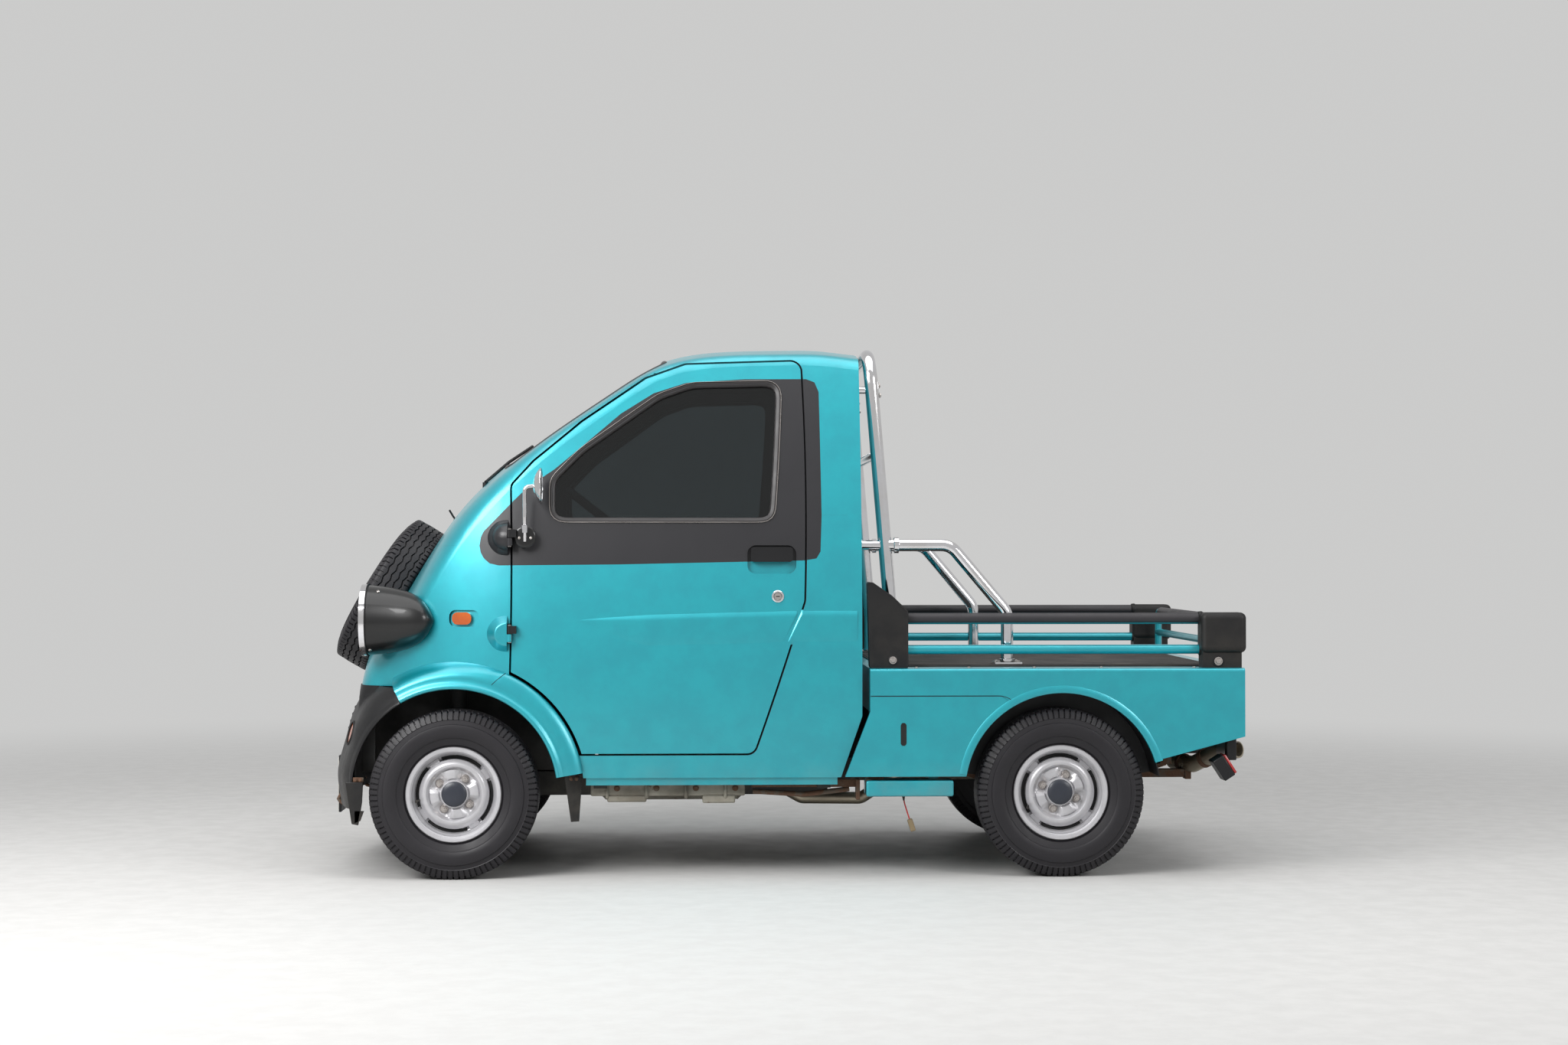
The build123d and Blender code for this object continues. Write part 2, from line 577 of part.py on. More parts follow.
def build_bed():
    """Flat bed: outer panels with arches, deck, mat, rails, corner covers and the roll hoop."""
    side_outline = ((BED_FRONT_X, BED_TOP_Z), (BED_FRONT_X, 504), (-181, BED_LOW_Z), (-1119, BED_LOW_Z),
                    (-1119, 353), (BED_REAR_X, 427), (BED_REAR_X, BED_TOP_Z))
    panel = side_prism(side_outline, BED_HALF_WIDTH - BED_SHEET, BED_HALF_WIDTH)
    panel -= y_disc(REAR_AXLE_X, REAR_ARCH_Z, REAR_ARCH_RADIUS, 600, 700)
    panel -= block(-362, -352, 600, 700, 402, 471)
    face = BED_HALF_WIDTH - SEAM_DEPTH
    panel -= block(-657, BED_FRONT_X + 1, face, BED_HALF_WIDTH + 1, SEAM_Z - 1.5, SEAM_Z + 1.5)
    panel -= side_prism(((-655, SEAM_Z - 1.5), (-655, SEAM_Z + 1.5), (-705, SEAM_Z - 33), (-705, SEAM_Z - 36)),
                        face, BED_HALF_WIDTH + 1)
    top_edge = [e for e in panel.edges() if e.center().Z > BED_TOP_Z - 1 and e.center().Y > BED_HALF_WIDTH - 1]
    panel = fillet(top_edge, 10)
    save("bed_sides", both(panel))
    inside = BED_HALF_WIDTH - BED_SHEET
    front = block(BED_FRONT_X - BED_SHEET, BED_FRONT_X, -inside, inside, 504, BED_TOP_Z)
    rear = block(BED_REAR_X, BED_REAR_X + BED_SHEET, -inside, inside, 427, BED_TOP_Z)
    save("bed_ends", front, rear)
    deck_x0, deck_x1 = BED_REAR_X + BED_SHEET, BED_FRONT_X - BED_SHEET
    save("bed_deck", block(deck_x0, deck_x1, -inside, inside, 617, BED_TOP_Z))
    mat = block(deck_x0 + 45, deck_x1 - 20, -530, 530, BED_TOP_Z, BED_TOP_Z + 4)
    half = HOOP_PLATE + 2
    for x in HOOP_FEET:
        for side in SIDES:
            mat -= block(x - half, x + half, *sorted((side * (HOOP_Y - half), side * (HOOP_Y + half))), 600, 700)
    save("deck_mat", mat)

    front_cover = side_prism(((-251, 897), (-268, 895), (-326, 855), (-375, 808), (-375, BED_TOP_Z),
                              (-258, BED_TOP_Z)), 545, 605, 6)
    rear_cover = fillet(block(-1409, -1270, 545, 625, 680, 803).edges(), 18) + block(
        -1395, -1275, 550, 612, BED_TOP_Z, 690)
    rails = []
    sleeves = []
    for side in SIDES:
        rails.append(rod((-375, side * RAIL_Y, LOWER_RAIL_Z), (-1270, side * RAIL_Y, LOWER_RAIL_Z),
                         LOWER_RAIL_RADIUS))
        upper = rod((-375, side * RAIL_Y, UPPER_RAIL_Z - 6), (-1270, side * RAIL_Y, UPPER_RAIL_Z - 6),
                    RAIL_TUBE_RADIUS)
        sleeve = rod((-376, side * RAIL_Y, UPPER_RAIL_Z), (-1269, side * RAIL_Y, UPPER_RAIL_Z), SLEEVE_RADIUS)
        rails.append(upper)
        sleeves.append(sleeve - upper)
    save("side_rails", rails)
    save("rail_sleeves", sleeves)

    hinge_y = 500.0
    gate = tube_path([(GATE_X, -hinge_y, GATE_HINGE_Z + 12), (GATE_X, -hinge_y, UPPER_RAIL_Z - 6),
                      (GATE_X, hinge_y, UPPER_RAIL_Z - 6), (GATE_X, hinge_y, GATE_HINGE_Z + 12)], 26,
                     RAIL_TUBE_RADIUS)
    gate += rod((GATE_X, -hinge_y, 708), (GATE_X, hinge_y, 708), RAIL_TUBE_RADIUS)
    for side in SIDES:
        gate += y_disc(GATE_X, GATE_HINGE_Z, 13, side * 480, side * 520)
        gate -= y_disc(GATE_X, GATE_HINGE_Z, 6.05, side * 470, side * 530)
    sleeve = rod((GATE_X, -440, UPPER_RAIL_Z - 6), (GATE_X, 440, UPPER_RAIL_Z - 6), SLEEVE_RADIUS)
    save("tail_gate", gate)
    save("gate_sleeve", sleeve - rod((GATE_X, -460, UPPER_RAIL_Z - 6), (GATE_X, 460, UPPER_RAIL_Z - 6),
                                     RAIL_TUBE_RADIUS))
    hinges = []
    for side in SIDES:
        lug = y_disc(GATE_X, GATE_HINGE_Z, 6, side * 468, side * 532)
        for y in (472, 528):
            lug += block(GATE_X - 12, GATE_X + 12, *sorted((side * (y - 4), side * (y + 4))), BED_TOP_Z,
                         GATE_HINGE_Z + 12)
        hinges.append(lug)
    save("rail_corners", both(front_cover), both(rear_cover), hinges)

    foot = BED_TOP_Z + 5
    hoop = tube_path([(-337, -HOOP_Y, foot), (-337, -HOOP_Y, 760), (-266, -HOOP_Y, HOOP_TOP_Z),
                      (-266, HOOP_Y, HOOP_TOP_Z), (-337, HOOP_Y, 760), (-337, HOOP_Y, foot)], 90,
                     HOOP_RADIUS)
    for side in SIDES:
        brace = tube_path([(-310, side * HOOP_Y, 1009), (-520, side * HOOP_Y, 1009), (-696, side * HOOP_Y, 800),
                           (-696, side * HOOP_Y, BED_TOP_Z + 5)], 60, BRACE_RADIUS)
        hoop += brace
        hoop += rod((-316, side * HOOP_Y, 1009), (-234, side * HOOP_Y, 1009), 15)
        hoop += rod((-278, side * 445, 1490), (-234, side * 445, 1490), 11)
        for x in HOOP_FEET:
            low, high = sorted((side * (HOOP_Y - HOOP_PLATE), side * (HOOP_Y + HOOP_PLATE)))
            hoop += block(x - HOOP_PLATE, x + HOOP_PLATE, low, high, BED_TOP_Z, BED_TOP_Z + 12)
    hoop += rod((-292.2, -HOOP_Y, 1290), (-292.2, HOOP_Y, 1290), 15)
    save("roll_hoop", hoop)

    step = fillet(block(-510, -244, 540, 640, 248, 297).edges(), 7)
    step += block(-470, -440, 318, 560, 290, 302) + block(-300, -270, 318, 560, 290, 302)
    save("step_box", step)
    save("red_lead", tube_path([(-361, 592, 247.78), (-363, 592, 228), (-371, 592, 201), (-379, 592, 176)], 24, 2.2))
    plug = fillet(Box(16, 18, 38).edges(), 3)
    save("lead_plug", plug.moved(Location((-385.2, 592, 157.4), (0, 18, 0))))

    lamp = fillet(block(-1412, BED_REAR_X, 380, 560, 470, 560).edges(), 6)
    fog = Location((-1335, 590, 328), (0, 33, 0)) * block(-22, 22, -36, 36, -36, 36)
    stay = block(-1380, -1350, 575, 605, 350, 440)
    save("rear_lamps", both(lamp), fog + stay)
    front_flap = side_prism(((1300, 205), (1272, 205), (1283, 175), (1300, 169)), 574, 580)
    rear_flap = side_prism(((668, 304), (615, 304), (624, 170), (649, 168)), 560, 566)
    save("mud_flaps", both(front_flap), both(rear_flap))


def build_interior():
    """Dashboard, column, steering wheel and the single seat."""
    dash = side_prism(((835, 905), (790, 1040), (700, 1060), (655, 1000), (690, 880), (830, 820)), -480, 480, 12)
    column_foot = (800.0, 0.0, 760.0)
    normal = Vector(math.sin(math.radians(WHEEL_RAKE)), 0, -math.cos(math.radians(WHEEL_RAKE)))
    centre = Vector(*WHEEL_CENTRE)
    dash += rod(tuple(centre + normal * 40), tuple(centre + normal * 330), 24)
    save("dashboard", dash)
    plane = Plane(origin=centre, x_dir=Y_AXIS, z_dir=normal)
    ring = Location(plane) * Torus(WHEEL_RIM_RADIUS, 13)
    boss = extrude(plane * Circle(44), amount=34)
    for angle in (-90, 30, 150):
        tip = plane * Rot(0, 0, angle) * Pos(WHEEL_RIM_RADIUS, 0, 0)
        ring += rod(tuple(centre + normal * 14), tuple(tip.center() if hasattr(tip, "center") else tip.position), 9)
    save("steering_wheel", ring + boss)
    cushion = fillet(block(20, 480, -250, 250, 602, 740).edges(), 36)
    back = side_prism(((60, 742), (-60, 742), (-160, 1290), (-80, 1290)), -240, 240)
    back = fillet(back.edges(), 26)
    save("seat", cushion, back)


def build_wipers(form):
    """Two wiper arms that follow the glass."""
    arms = []
    for x0, y0, x1, y1 in ((930, 300, 800, 20), (930, -150, 800, -420)):
        ends = []
        for x, y in ((x0, y0), ((x0 + x1) / 2, (y0 + y1) / 2), (x1, y1)):
            drop = Edge.make_line((x, y, 2000), (x, y, 900))
            hit = max(v.Z for v in (form & drop).vertices())
            ends.append((x, y, hit + 9))
        arm = tube_path(ends, 60, 5)
        arm += rod((ends[0][0], ends[0][1], ends[0][2] - 30), ends[0], 9)
        arms.append(arm - form)
    save("wipers", arms)


def hinge_half(z, door_side):
    """One half of an outside door hinge: barrel and leaf."""
    z0, z1 = (z + 1, z + 24) if door_side else (z - 24, z - 1)
    barrel = rod((DOOR_AXIS_X, DOOR_AXIS_Y, z0), (DOOR_AXIS_X, DOOR_AXIS_Y, z1), 8)
    foot, reach = (DOOR_AXIS_X - 6, DOOR_AXIS_X - 20) if door_side else (DOOR_AXIS_X + 6, HINGE_FACE_X)
    leaf = block(*sorted((foot, reach)), 500, DOOR_AXIS_Y + 7, z0, z1)
    link = block(*sorted((foot, DOOR_AXIS_X)), DOOR_AXIS_Y - 5, DOOR_AXIS_Y + 7, z0, z1)
    return barrel + leaf + link


def build_door_fittings(form):
    """Outside hinges, pull handle and mirror of each door."""
    fixed = [hinge_half(z, False) - form for z in HINGE_HEIGHTS]
    moving = [hinge_half(z, True) - form for z in HINGE_HEIGHTS]
    handle = block(-24, 104, 500, side_y(980) + 12, 958, 1003)
    handle = fillet(handle.edges().filter_by(Axis.Y), 10) - cab_form(POCKET_DEPTH, SILL_Z)
    save("door_hinges", both(fixed[0]), both(fixed[1]))
    save("door_fittings_left", moving, handle)
    save("door_fittings_right", [mirrored(piece) for piece in moving + [handle]])
    foot_x, foot_z = 786.0, HINGE_HEIGHTS[1] + 3
    base = y_disc(foot_x, foot_z, 32, 520, 624) - form
    base -= block(DOOR_AXIS_X - 21, DOOR_AXIS_X, 500, 700, foot_z - 40, foot_z + 40)
    base = largest(base, 1)[0]
    arm = tube_path([(foot_x, 622, foot_z - 14), (foot_x, 634, foot_z + 60), (foot_x, 634, 1184), (752, 634, 1187)],
                    14, 6)
    head = revolve(make_face([
        Line((0, 0), (24, 0)),
        ThreePointArc((24, 0), (17, 36), (3, 55)),
        Line((3, 55), (0, 52)),
        Line((0, 52), (0, 0)),
    ]), axis=Axis.X).moved(Location((736, 634, 1187)))
    save("mirror_left", base + arm + head)
    save("mirror_right", mirrored(base + arm + head))


def main():
    os.makedirs("parts", exist_ok=True)
    nose, lining = build_cab()
    save("cab_floor", build_floor(lining))
    form = cab_form(0, SILL_Z)
    flare = build_arches()
    flares = flare + mirrored(flare)
    save("cab_nose", finish_nose(nose, flares))
    save("arch_flares", both(flare))
    save("front_bumper", largest(build_bumper(form, flares), 1))
    build_lamps(form)
    build_wheels()
    build_knuckles()
    build_running_gear()
    build_bed()
    build_interior()
    build_wipers(form)
    build_door_fittings(form)


main()
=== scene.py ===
# %% [markdown]
# # Dressing a small single-seat pick-up
# The solids of the truck come in as a fixed frame: cab, doors, bed, wheels and running gear, each
# riding on its own body.  This lesson gives them their finishes, swaps the plainest of them for
# detailed meshes, and adds the trim that a drawing leaves out: seals, bolts, lenses, treads.
# Everything is in metres in the frame's own axes (+X forward, +Y left, +Z up), so a piece goes
# exactly where the solid beneath it is.

# %% Load the frame
import math

import bmesh
import bpy
from mathutils import Matrix, Vector


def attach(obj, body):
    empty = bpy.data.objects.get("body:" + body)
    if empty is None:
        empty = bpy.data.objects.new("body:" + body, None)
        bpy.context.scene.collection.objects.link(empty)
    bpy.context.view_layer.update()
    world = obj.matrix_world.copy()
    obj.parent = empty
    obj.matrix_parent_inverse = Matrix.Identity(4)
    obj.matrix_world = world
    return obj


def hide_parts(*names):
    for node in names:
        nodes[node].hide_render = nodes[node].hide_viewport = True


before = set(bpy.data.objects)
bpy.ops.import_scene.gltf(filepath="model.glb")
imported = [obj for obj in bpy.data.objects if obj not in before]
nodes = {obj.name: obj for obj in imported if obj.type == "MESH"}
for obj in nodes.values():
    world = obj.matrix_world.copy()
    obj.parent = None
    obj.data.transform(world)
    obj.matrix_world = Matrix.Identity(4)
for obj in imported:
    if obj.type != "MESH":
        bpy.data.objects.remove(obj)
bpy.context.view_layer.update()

# %% [markdown]
# ## The camera
# The truck is seen square from its left side by a tripod at chest height about eight metres away.
# A 57 mm lens at that distance keeps the far wheels nearly behind the near ones.

# %% Place the camera
camera_data = bpy.data.cameras.new("studio_camera")
camera_data.lens = 56.9
camera_data.sensor_width = 36.0
camera_data.clip_end = 200.0
camera = bpy.data.objects.new("studio_camera", camera_data)
camera.location = (0.304, 8.119, 0.988)
sight = Vector((-0.04, -0.9992, math.tan(math.radians(0.68))))
camera.rotation_euler = sight.to_track_quat("-Z", "Y").to_euler()
bpy.context.scene.collection.objects.link(camera)
bpy.context.scene.camera = camera
bpy.context.scene.view_settings.view_transform = "Standard"
print("camera:", round(camera_data.lens, 1), "mm lens at", tuple(camera.location))

# %% [markdown]
# ## Small tools for nodes
# Shader trees are easier to read when a node and what feeds it stand on one line.  `put` adds a
# node and feeds its sockets in order, `calc` is one sum, and `blend_colour` mixes two colours.

# %% Node helpers
def feed(tree, socket, value):
    """Links a socket to another, or sets its own value."""
    if isinstance(value, bpy.types.NodeSocket):
        tree.links.new(value, socket)
    elif value is not None:
        socket.default_value = value


def put(tree, kind, *values, named=None, **settings):
    """Adds a shader node; values feed its inputs in order and named ones by name."""
    node = tree.nodes.new("ShaderNode" + kind)
    for key, value in settings.items():
        setattr(node, key, value)
    for socket, value in zip(node.inputs, values):
        feed(tree, socket, value)
    for key, value in (named or {}).items():
        feed(tree, node.inputs[key], value)
    return node


def calc(tree, operation, a, b=None, c=None, clamp=False):
    """One step of arithmetic on two or three values."""
    return put(tree, "Math", a, b, c, operation=operation, use_clamp=clamp).outputs[0]


def blend_colour(tree, share, first, second):
    """A colour between first and second."""
    node = put(tree, "Mix", data_type="RGBA")
    for index, value in ((0, share), (6, first), (7, second)):
        feed(tree, node.inputs[index], value)
    return node.outputs[2]


def smooth_step(tree, value, low, high):
    """0 below low, 1 above high and a soft ramp between them."""
    node = put(tree, "MapRange", value, low, high, 0.0, 1.0, interpolation_type="SMOOTHSTEP")
    return node.outputs[0]


def rgb(r, g, b):
    """A screen colour from 0 to 255 as the linear value that the shaders take."""
    def linear(c):
        c /= 255.0
        return c / 12.92 if c <= 0.04045 else ((c + 0.055) / 1.055) ** 2.4
    return (linear(r), linear(g), linear(b), 1.0)


print("node helpers ready")

# %% [markdown]
# ## Effects that several finishes share
# Moulded grain, road dirt that thins out with height, and rust that blooms in patches occur all
# over an old vehicle.  Each is a node group with its own dials, so that a tyre and a sill use the
# same dirt with different amounts.  The groups read object coordinates, which travel with a piece
# when a door or a wheel moves.

# %% Shared node groups
def new_group(name, inputs, outputs):
    """An empty node group with float sockets; colours are marked by a tuple default."""
    group = bpy.data.node_groups.new(name, "ShaderNodeTree")
    for label, default in inputs:
        kind = "NodeSocketColor" if isinstance(default, tuple) else "NodeSocketFloat"
        socket = group.interface.new_socket(label, in_out="INPUT", socket_type=kind)
        socket.default_value = default
    for label in outputs:
        group.interface.new_socket(label, in_out="OUTPUT", socket_type="NodeSocketFloat")
    start = group.nodes.new("NodeGroupInput")
    end = group.nodes.new("NodeGroupOutput")
    return group, start, end


grain_group, start, end = new_group(
    "moulded_grain", [("Scale", 900.0), ("Depth", 1.0)], ["Height", "Mottle"])
place = put(grain_group, "TexCoord").outputs["Object"]
cells = put(grain_group, "TexVoronoi", place, None, start.outputs["Scale"], feature="SMOOTH_F1")
clouds = put(grain_group, "TexNoise", place, None, 11.0, 4.0, 0.6)
grain_group.links.new(calc(grain_group, "MULTIPLY", cells.outputs[0], start.outputs["Depth"]),
                      end.inputs["Height"])
grain_group.links.new(clouds.outputs[0], end.inputs["Mottle"])

dirt_group, start, end = new_group(
    "road_dirt", [("Level", 0.5), ("Fade", 0.3), ("Amount", 0.5), ("Scale", 9.0)], ["Mask"])
place = put(dirt_group, "TexCoord").outputs["Object"]
height = put(dirt_group, "SeparateXYZ", place).outputs[2]
clouds = put(dirt_group, "TexNoise", place, None, start.outputs["Scale"], 6.0, 0.65).outputs[0]
below = calc(dirt_group, "SUBTRACT", start.outputs["Level"], height)
below = calc(dirt_group, "DIVIDE", below, start.outputs["Fade"], clamp=True)
patches = smooth_step(dirt_group, clouds, 0.3, 0.75)
film = calc(dirt_group, "MULTIPLY", calc(dirt_group, "MULTIPLY", below, patches),
            start.outputs["Amount"], clamp=True)
dirt_group.links.new(film, end.inputs["Mask"])

rust_group, start, end = new_group("rust_bloom", [("Scale", 14.0), ("Cover", 0.4)], ["Mask", "Height"])
place = put(rust_group, "TexCoord").outputs["Object"]
broad = put(rust_group, "TexNoise", place, None, start.outputs["Scale"], 8.0, 0.7).outputs[0]
fine = put(rust_group, "TexNoise", place, None, 260.0, 3.0, 0.6).outputs[0]
edge = calc(rust_group, "SUBTRACT", 0.86, calc(rust_group, "MULTIPLY", start.outputs["Cover"], 0.62))
bloom = calc(rust_group, "MULTIPLY_ADD", fine, 0.14, broad)
rust_group.links.new(smooth_step(rust_group, bloom, edge, calc(rust_group, "ADD", edge, 0.07)),
                     end.inputs["Mask"])
rust_group.links.new(fine, end.inputs["Height"])
print("node groups:", [group.name for group in (grain_group, dirt_group, rust_group)])

# %% [markdown]
# ## One recipe for most finishes
# A finish starts from one colour that drifts towards a second, gets moulded grain as bump, and then
# road dirt and rust are laid over it.  Constants such as metallic or coat go straight to the
# shader's sockets; only what varies over the surface is wired.

# %% The finish recipe
DUST = rgb(134, 126, 112)
RUST_DARK = rgb(58, 41, 32)
RUST_LIGHT = rgb(112, 80, 58)


def use_group(tree, group, **dials):
    """Places a shared group in a material."""
    node = tree.nodes.new("ShaderNodeGroup")
    node.node_tree = group
    for key, value in dials.items():
        feed(tree, node.inputs[key], value)
    return node.outputs


def finish(name, colour, second=None, metallic=0.0, rough=0.5, spread=0.1, grain=0.0, scale=900.0,
           dirt=0.0, level=0.5, fade=0.3, rust=0.0, patch=14.0, coat=0.0, coat_rough=0.05,
           colour_hook=None, **sockets):
    """A Principled material with drift, grain, dirt and rust."""
    material = bpy.data.materials.new(name)
    material.use_nodes = True
    tree = material.node_tree
    shader = tree.nodes["Principled BSDF"]
    shader.inputs["Metallic"].default_value = metallic
    shader.inputs["Coat Weight"].default_value = coat
    shader.inputs["Coat Roughness"].default_value = coat_rough
    for key, value in sockets.items():
        shader.inputs[key.replace("_", " ")].default_value = value
    texture = use_group(tree, grain_group, Scale=scale, Depth=1.0)
    mottle = smooth_step(tree, texture["Mottle"], 0.3, 0.7)
    shade = blend_colour(tree, mottle, colour, second or tuple(0.82 * c for c in colour[:3]) + (1.0,))
    if colour_hook:
        shade = colour_hook(tree, shade, shader)
    roughness = calc(tree, "MULTIPLY_ADD", mottle, spread, rough - spread / 2)
    height = texture["Height"]
    if dirt:
        film = use_group(tree, dirt_group, Level=level, Fade=fade, Amount=dirt)["Mask"]
        shade = blend_colour(tree, film, shade, DUST)
        roughness = calc(tree, "MAXIMUM", roughness, calc(tree, "MULTIPLY", film, 0.8))
    if rust:
        bloom = use_group(tree, rust_group, Scale=patch, Cover=rust)
        colour_of_rust = blend_colour(tree, bloom["Height"], RUST_DARK, RUST_LIGHT)
        shade = blend_colour(tree, bloom["Mask"], shade, colour_of_rust)
        roughness = calc(tree, "MAXIMUM", roughness, calc(tree, "MULTIPLY", bloom["Mask"], 0.85))
        if metallic:
            keep = calc(tree, "SUBTRACT", 1.0, bloom["Mask"])
            feed(tree, shader.inputs["Metallic"], calc(tree, "MULTIPLY", keep, metallic))
    feed(tree, shader.inputs["Base Color"], shade)
    feed(tree, shader.inputs["Roughness"], roughness)
    if grain:
        bump = put(tree, "Bump", named={"Strength": grain, "Distance": 0.0006, "Height": height})
        feed(tree, shader.inputs["Normal"], bump.outputs[0])
    return material


print("finish recipe ready")

# %% [markdown]
# ## The two-tone paint
# The body is a metallic turquoise under clear lacquer, with a charcoal band round the side windows.
# The band's edges are two curves, the height of its lower and its upper edge along the truck, so one
# material masks the nose, the doors and the cab sides alike and the line runs on across the gaps.
# The lining of the cab is plain trim: its faces look towards the middle of the cab, and that is how
# the material finds them.

# %% Paint and charcoal band
BAND_LOW = ((-0.1125, 1.100), (-0.109, 0.990), (-0.096, 0.968), (-0.060, 0.962), (0.500, 0.950),
            (0.866, 0.947), (0.894, 0.953), (0.912, 0.968), (0.922, 0.986), (0.926, 1.007))
BAND_HIGH = ((-0.1125, 1.100), (-0.109, 1.480), (-0.096, 1.512), (-0.070, 1.522), (0.120, 1.521),
             (0.300, 1.509), (0.400, 1.476), (0.500, 1.412), (0.620, 1.308), (0.700, 1.240),
             (0.780, 1.186), (0.827, 1.140), (0.878, 1.087), (0.915, 1.049), (0.924, 1.028), (0.926, 1.007))
CAB_CENTRE = (0.25, 0.0, 0.95)
TRIM_GREY = rgb(58, 58, 60)


def edge_curve(tree, x, table):
    """The height of one edge of the band at x, read from its table."""
    low_x, high_x = table[0][0], table[-1][0]
    share = calc(tree, "DIVIDE", calc(tree, "SUBTRACT", x, low_x), high_x - low_x, clamp=True)
    node = put(tree, "FloatCurve", None, share)
    curve = node.mapping.curves[0]
    while len(curve.points) < len(table):
        curve.points.new(0.5, 0.5)
    for point, (along, high) in zip(curve.points, table):
        point.location = ((along - low_x) / (high_x - low_x), high / 2.0)
        point.handle_type = "VECTOR"
    node.mapping.update()
    return calc(tree, "MULTIPLY", node.outputs[0], 2.0)


def band_and_lining(band):
    """A colour hook that adds the cab's lining and, where asked, the charcoal band."""
    def hook(tree, shade, shader):
        coordinate = put(tree, "TexCoord")
        place = coordinate.outputs["Object"]
        x, _, z = put(tree, "SeparateXYZ", place).outputs
        if band:
            above = calc(tree, "SUBTRACT", z, edge_curve(tree, x, BAND_LOW))
            under = calc(tree, "SUBTRACT", edge_curve(tree, x, BAND_HIGH), z)
            inside = calc(tree, "MINIMUM", above, under)
            mask = smooth_step(tree, inside, -0.0006, 0.0006)
            speck = put(tree, "TexNoise", place, None, 1400.0, 2.0, 0.6).outputs[0]
            charcoal = blend_colour(tree, speck, rgb(17, 17, 20), rgb(28, 27, 32))
            shade = blend_colour(tree, mask, shade, charcoal)
            ahead = smooth_step(tree, x, 1.196, 1.2)
            liner = calc(tree, "MULTIPLY", ahead, smooth_step(tree, calc(tree, "SUBTRACT", 0.572, z), 0.0, 0.004))
            shade = blend_colour(tree, liner, shade, rgb(14, 14, 15))
        outward = put(tree, "VectorMath", place, CAB_CENTRE, operation="SUBTRACT").outputs[0]
        facing = put(tree, "VectorMath", outward, coordinate.outputs["Normal"],
                     operation="DOT_PRODUCT").outputs["Value"]
        lining = smooth_step(tree, facing, -0.03, -0.05)
        shade = blend_colour(tree, lining, shade, TRIM_GREY)
        keep = calc(tree, "SUBTRACT", 1.0, calc(tree, "MAXIMUM", lining, mask) if band else lining)
        feed(tree, shader.inputs["Metallic"], calc(tree, "MULTIPLY", keep, 0.6))
        feed(tree, shader.inputs["Coat Weight"], calc(tree, "MULTIPLY_ADD", keep, 0.85, 0.15) if band else keep)
        return shade
    return hook


TURQUOISE = rgb(0, 158, 171)
TURQUOISE_DEEP = rgb(0, 149, 163)
paint_settings = dict(second=TURQUOISE_DEEP, metallic=0.6, rough=0.4, spread=0.02, grain=0.03, scale=2600.0,
                      dirt=0.3, level=0.36, fade=0.14, coat=1.0, coat_rough=0.26, Coat_IOR=1.55)
paint_band = finish("paint_two_tone", TURQUOISE, colour_hook=band_and_lining(True), **paint_settings)
paint_cab = finish("paint_cab", TURQUOISE, colour_hook=band_and_lining(False), **paint_settings)
paint = finish("paint_turquoise", TURQUOISE, **paint_settings)
print("paints:", paint_band.name, paint_cab.name, paint.name)

# %% [markdown]
# ## The other finishes
# Plastics are matt with a moulded grain, the pods and the rails' covers are a satin near-black, the
# hoop is bright chrome, and what hangs under the floor is dull, dirty and rusty.  A table keeps
# their dials side by side, which makes it easy to tune one against the other.

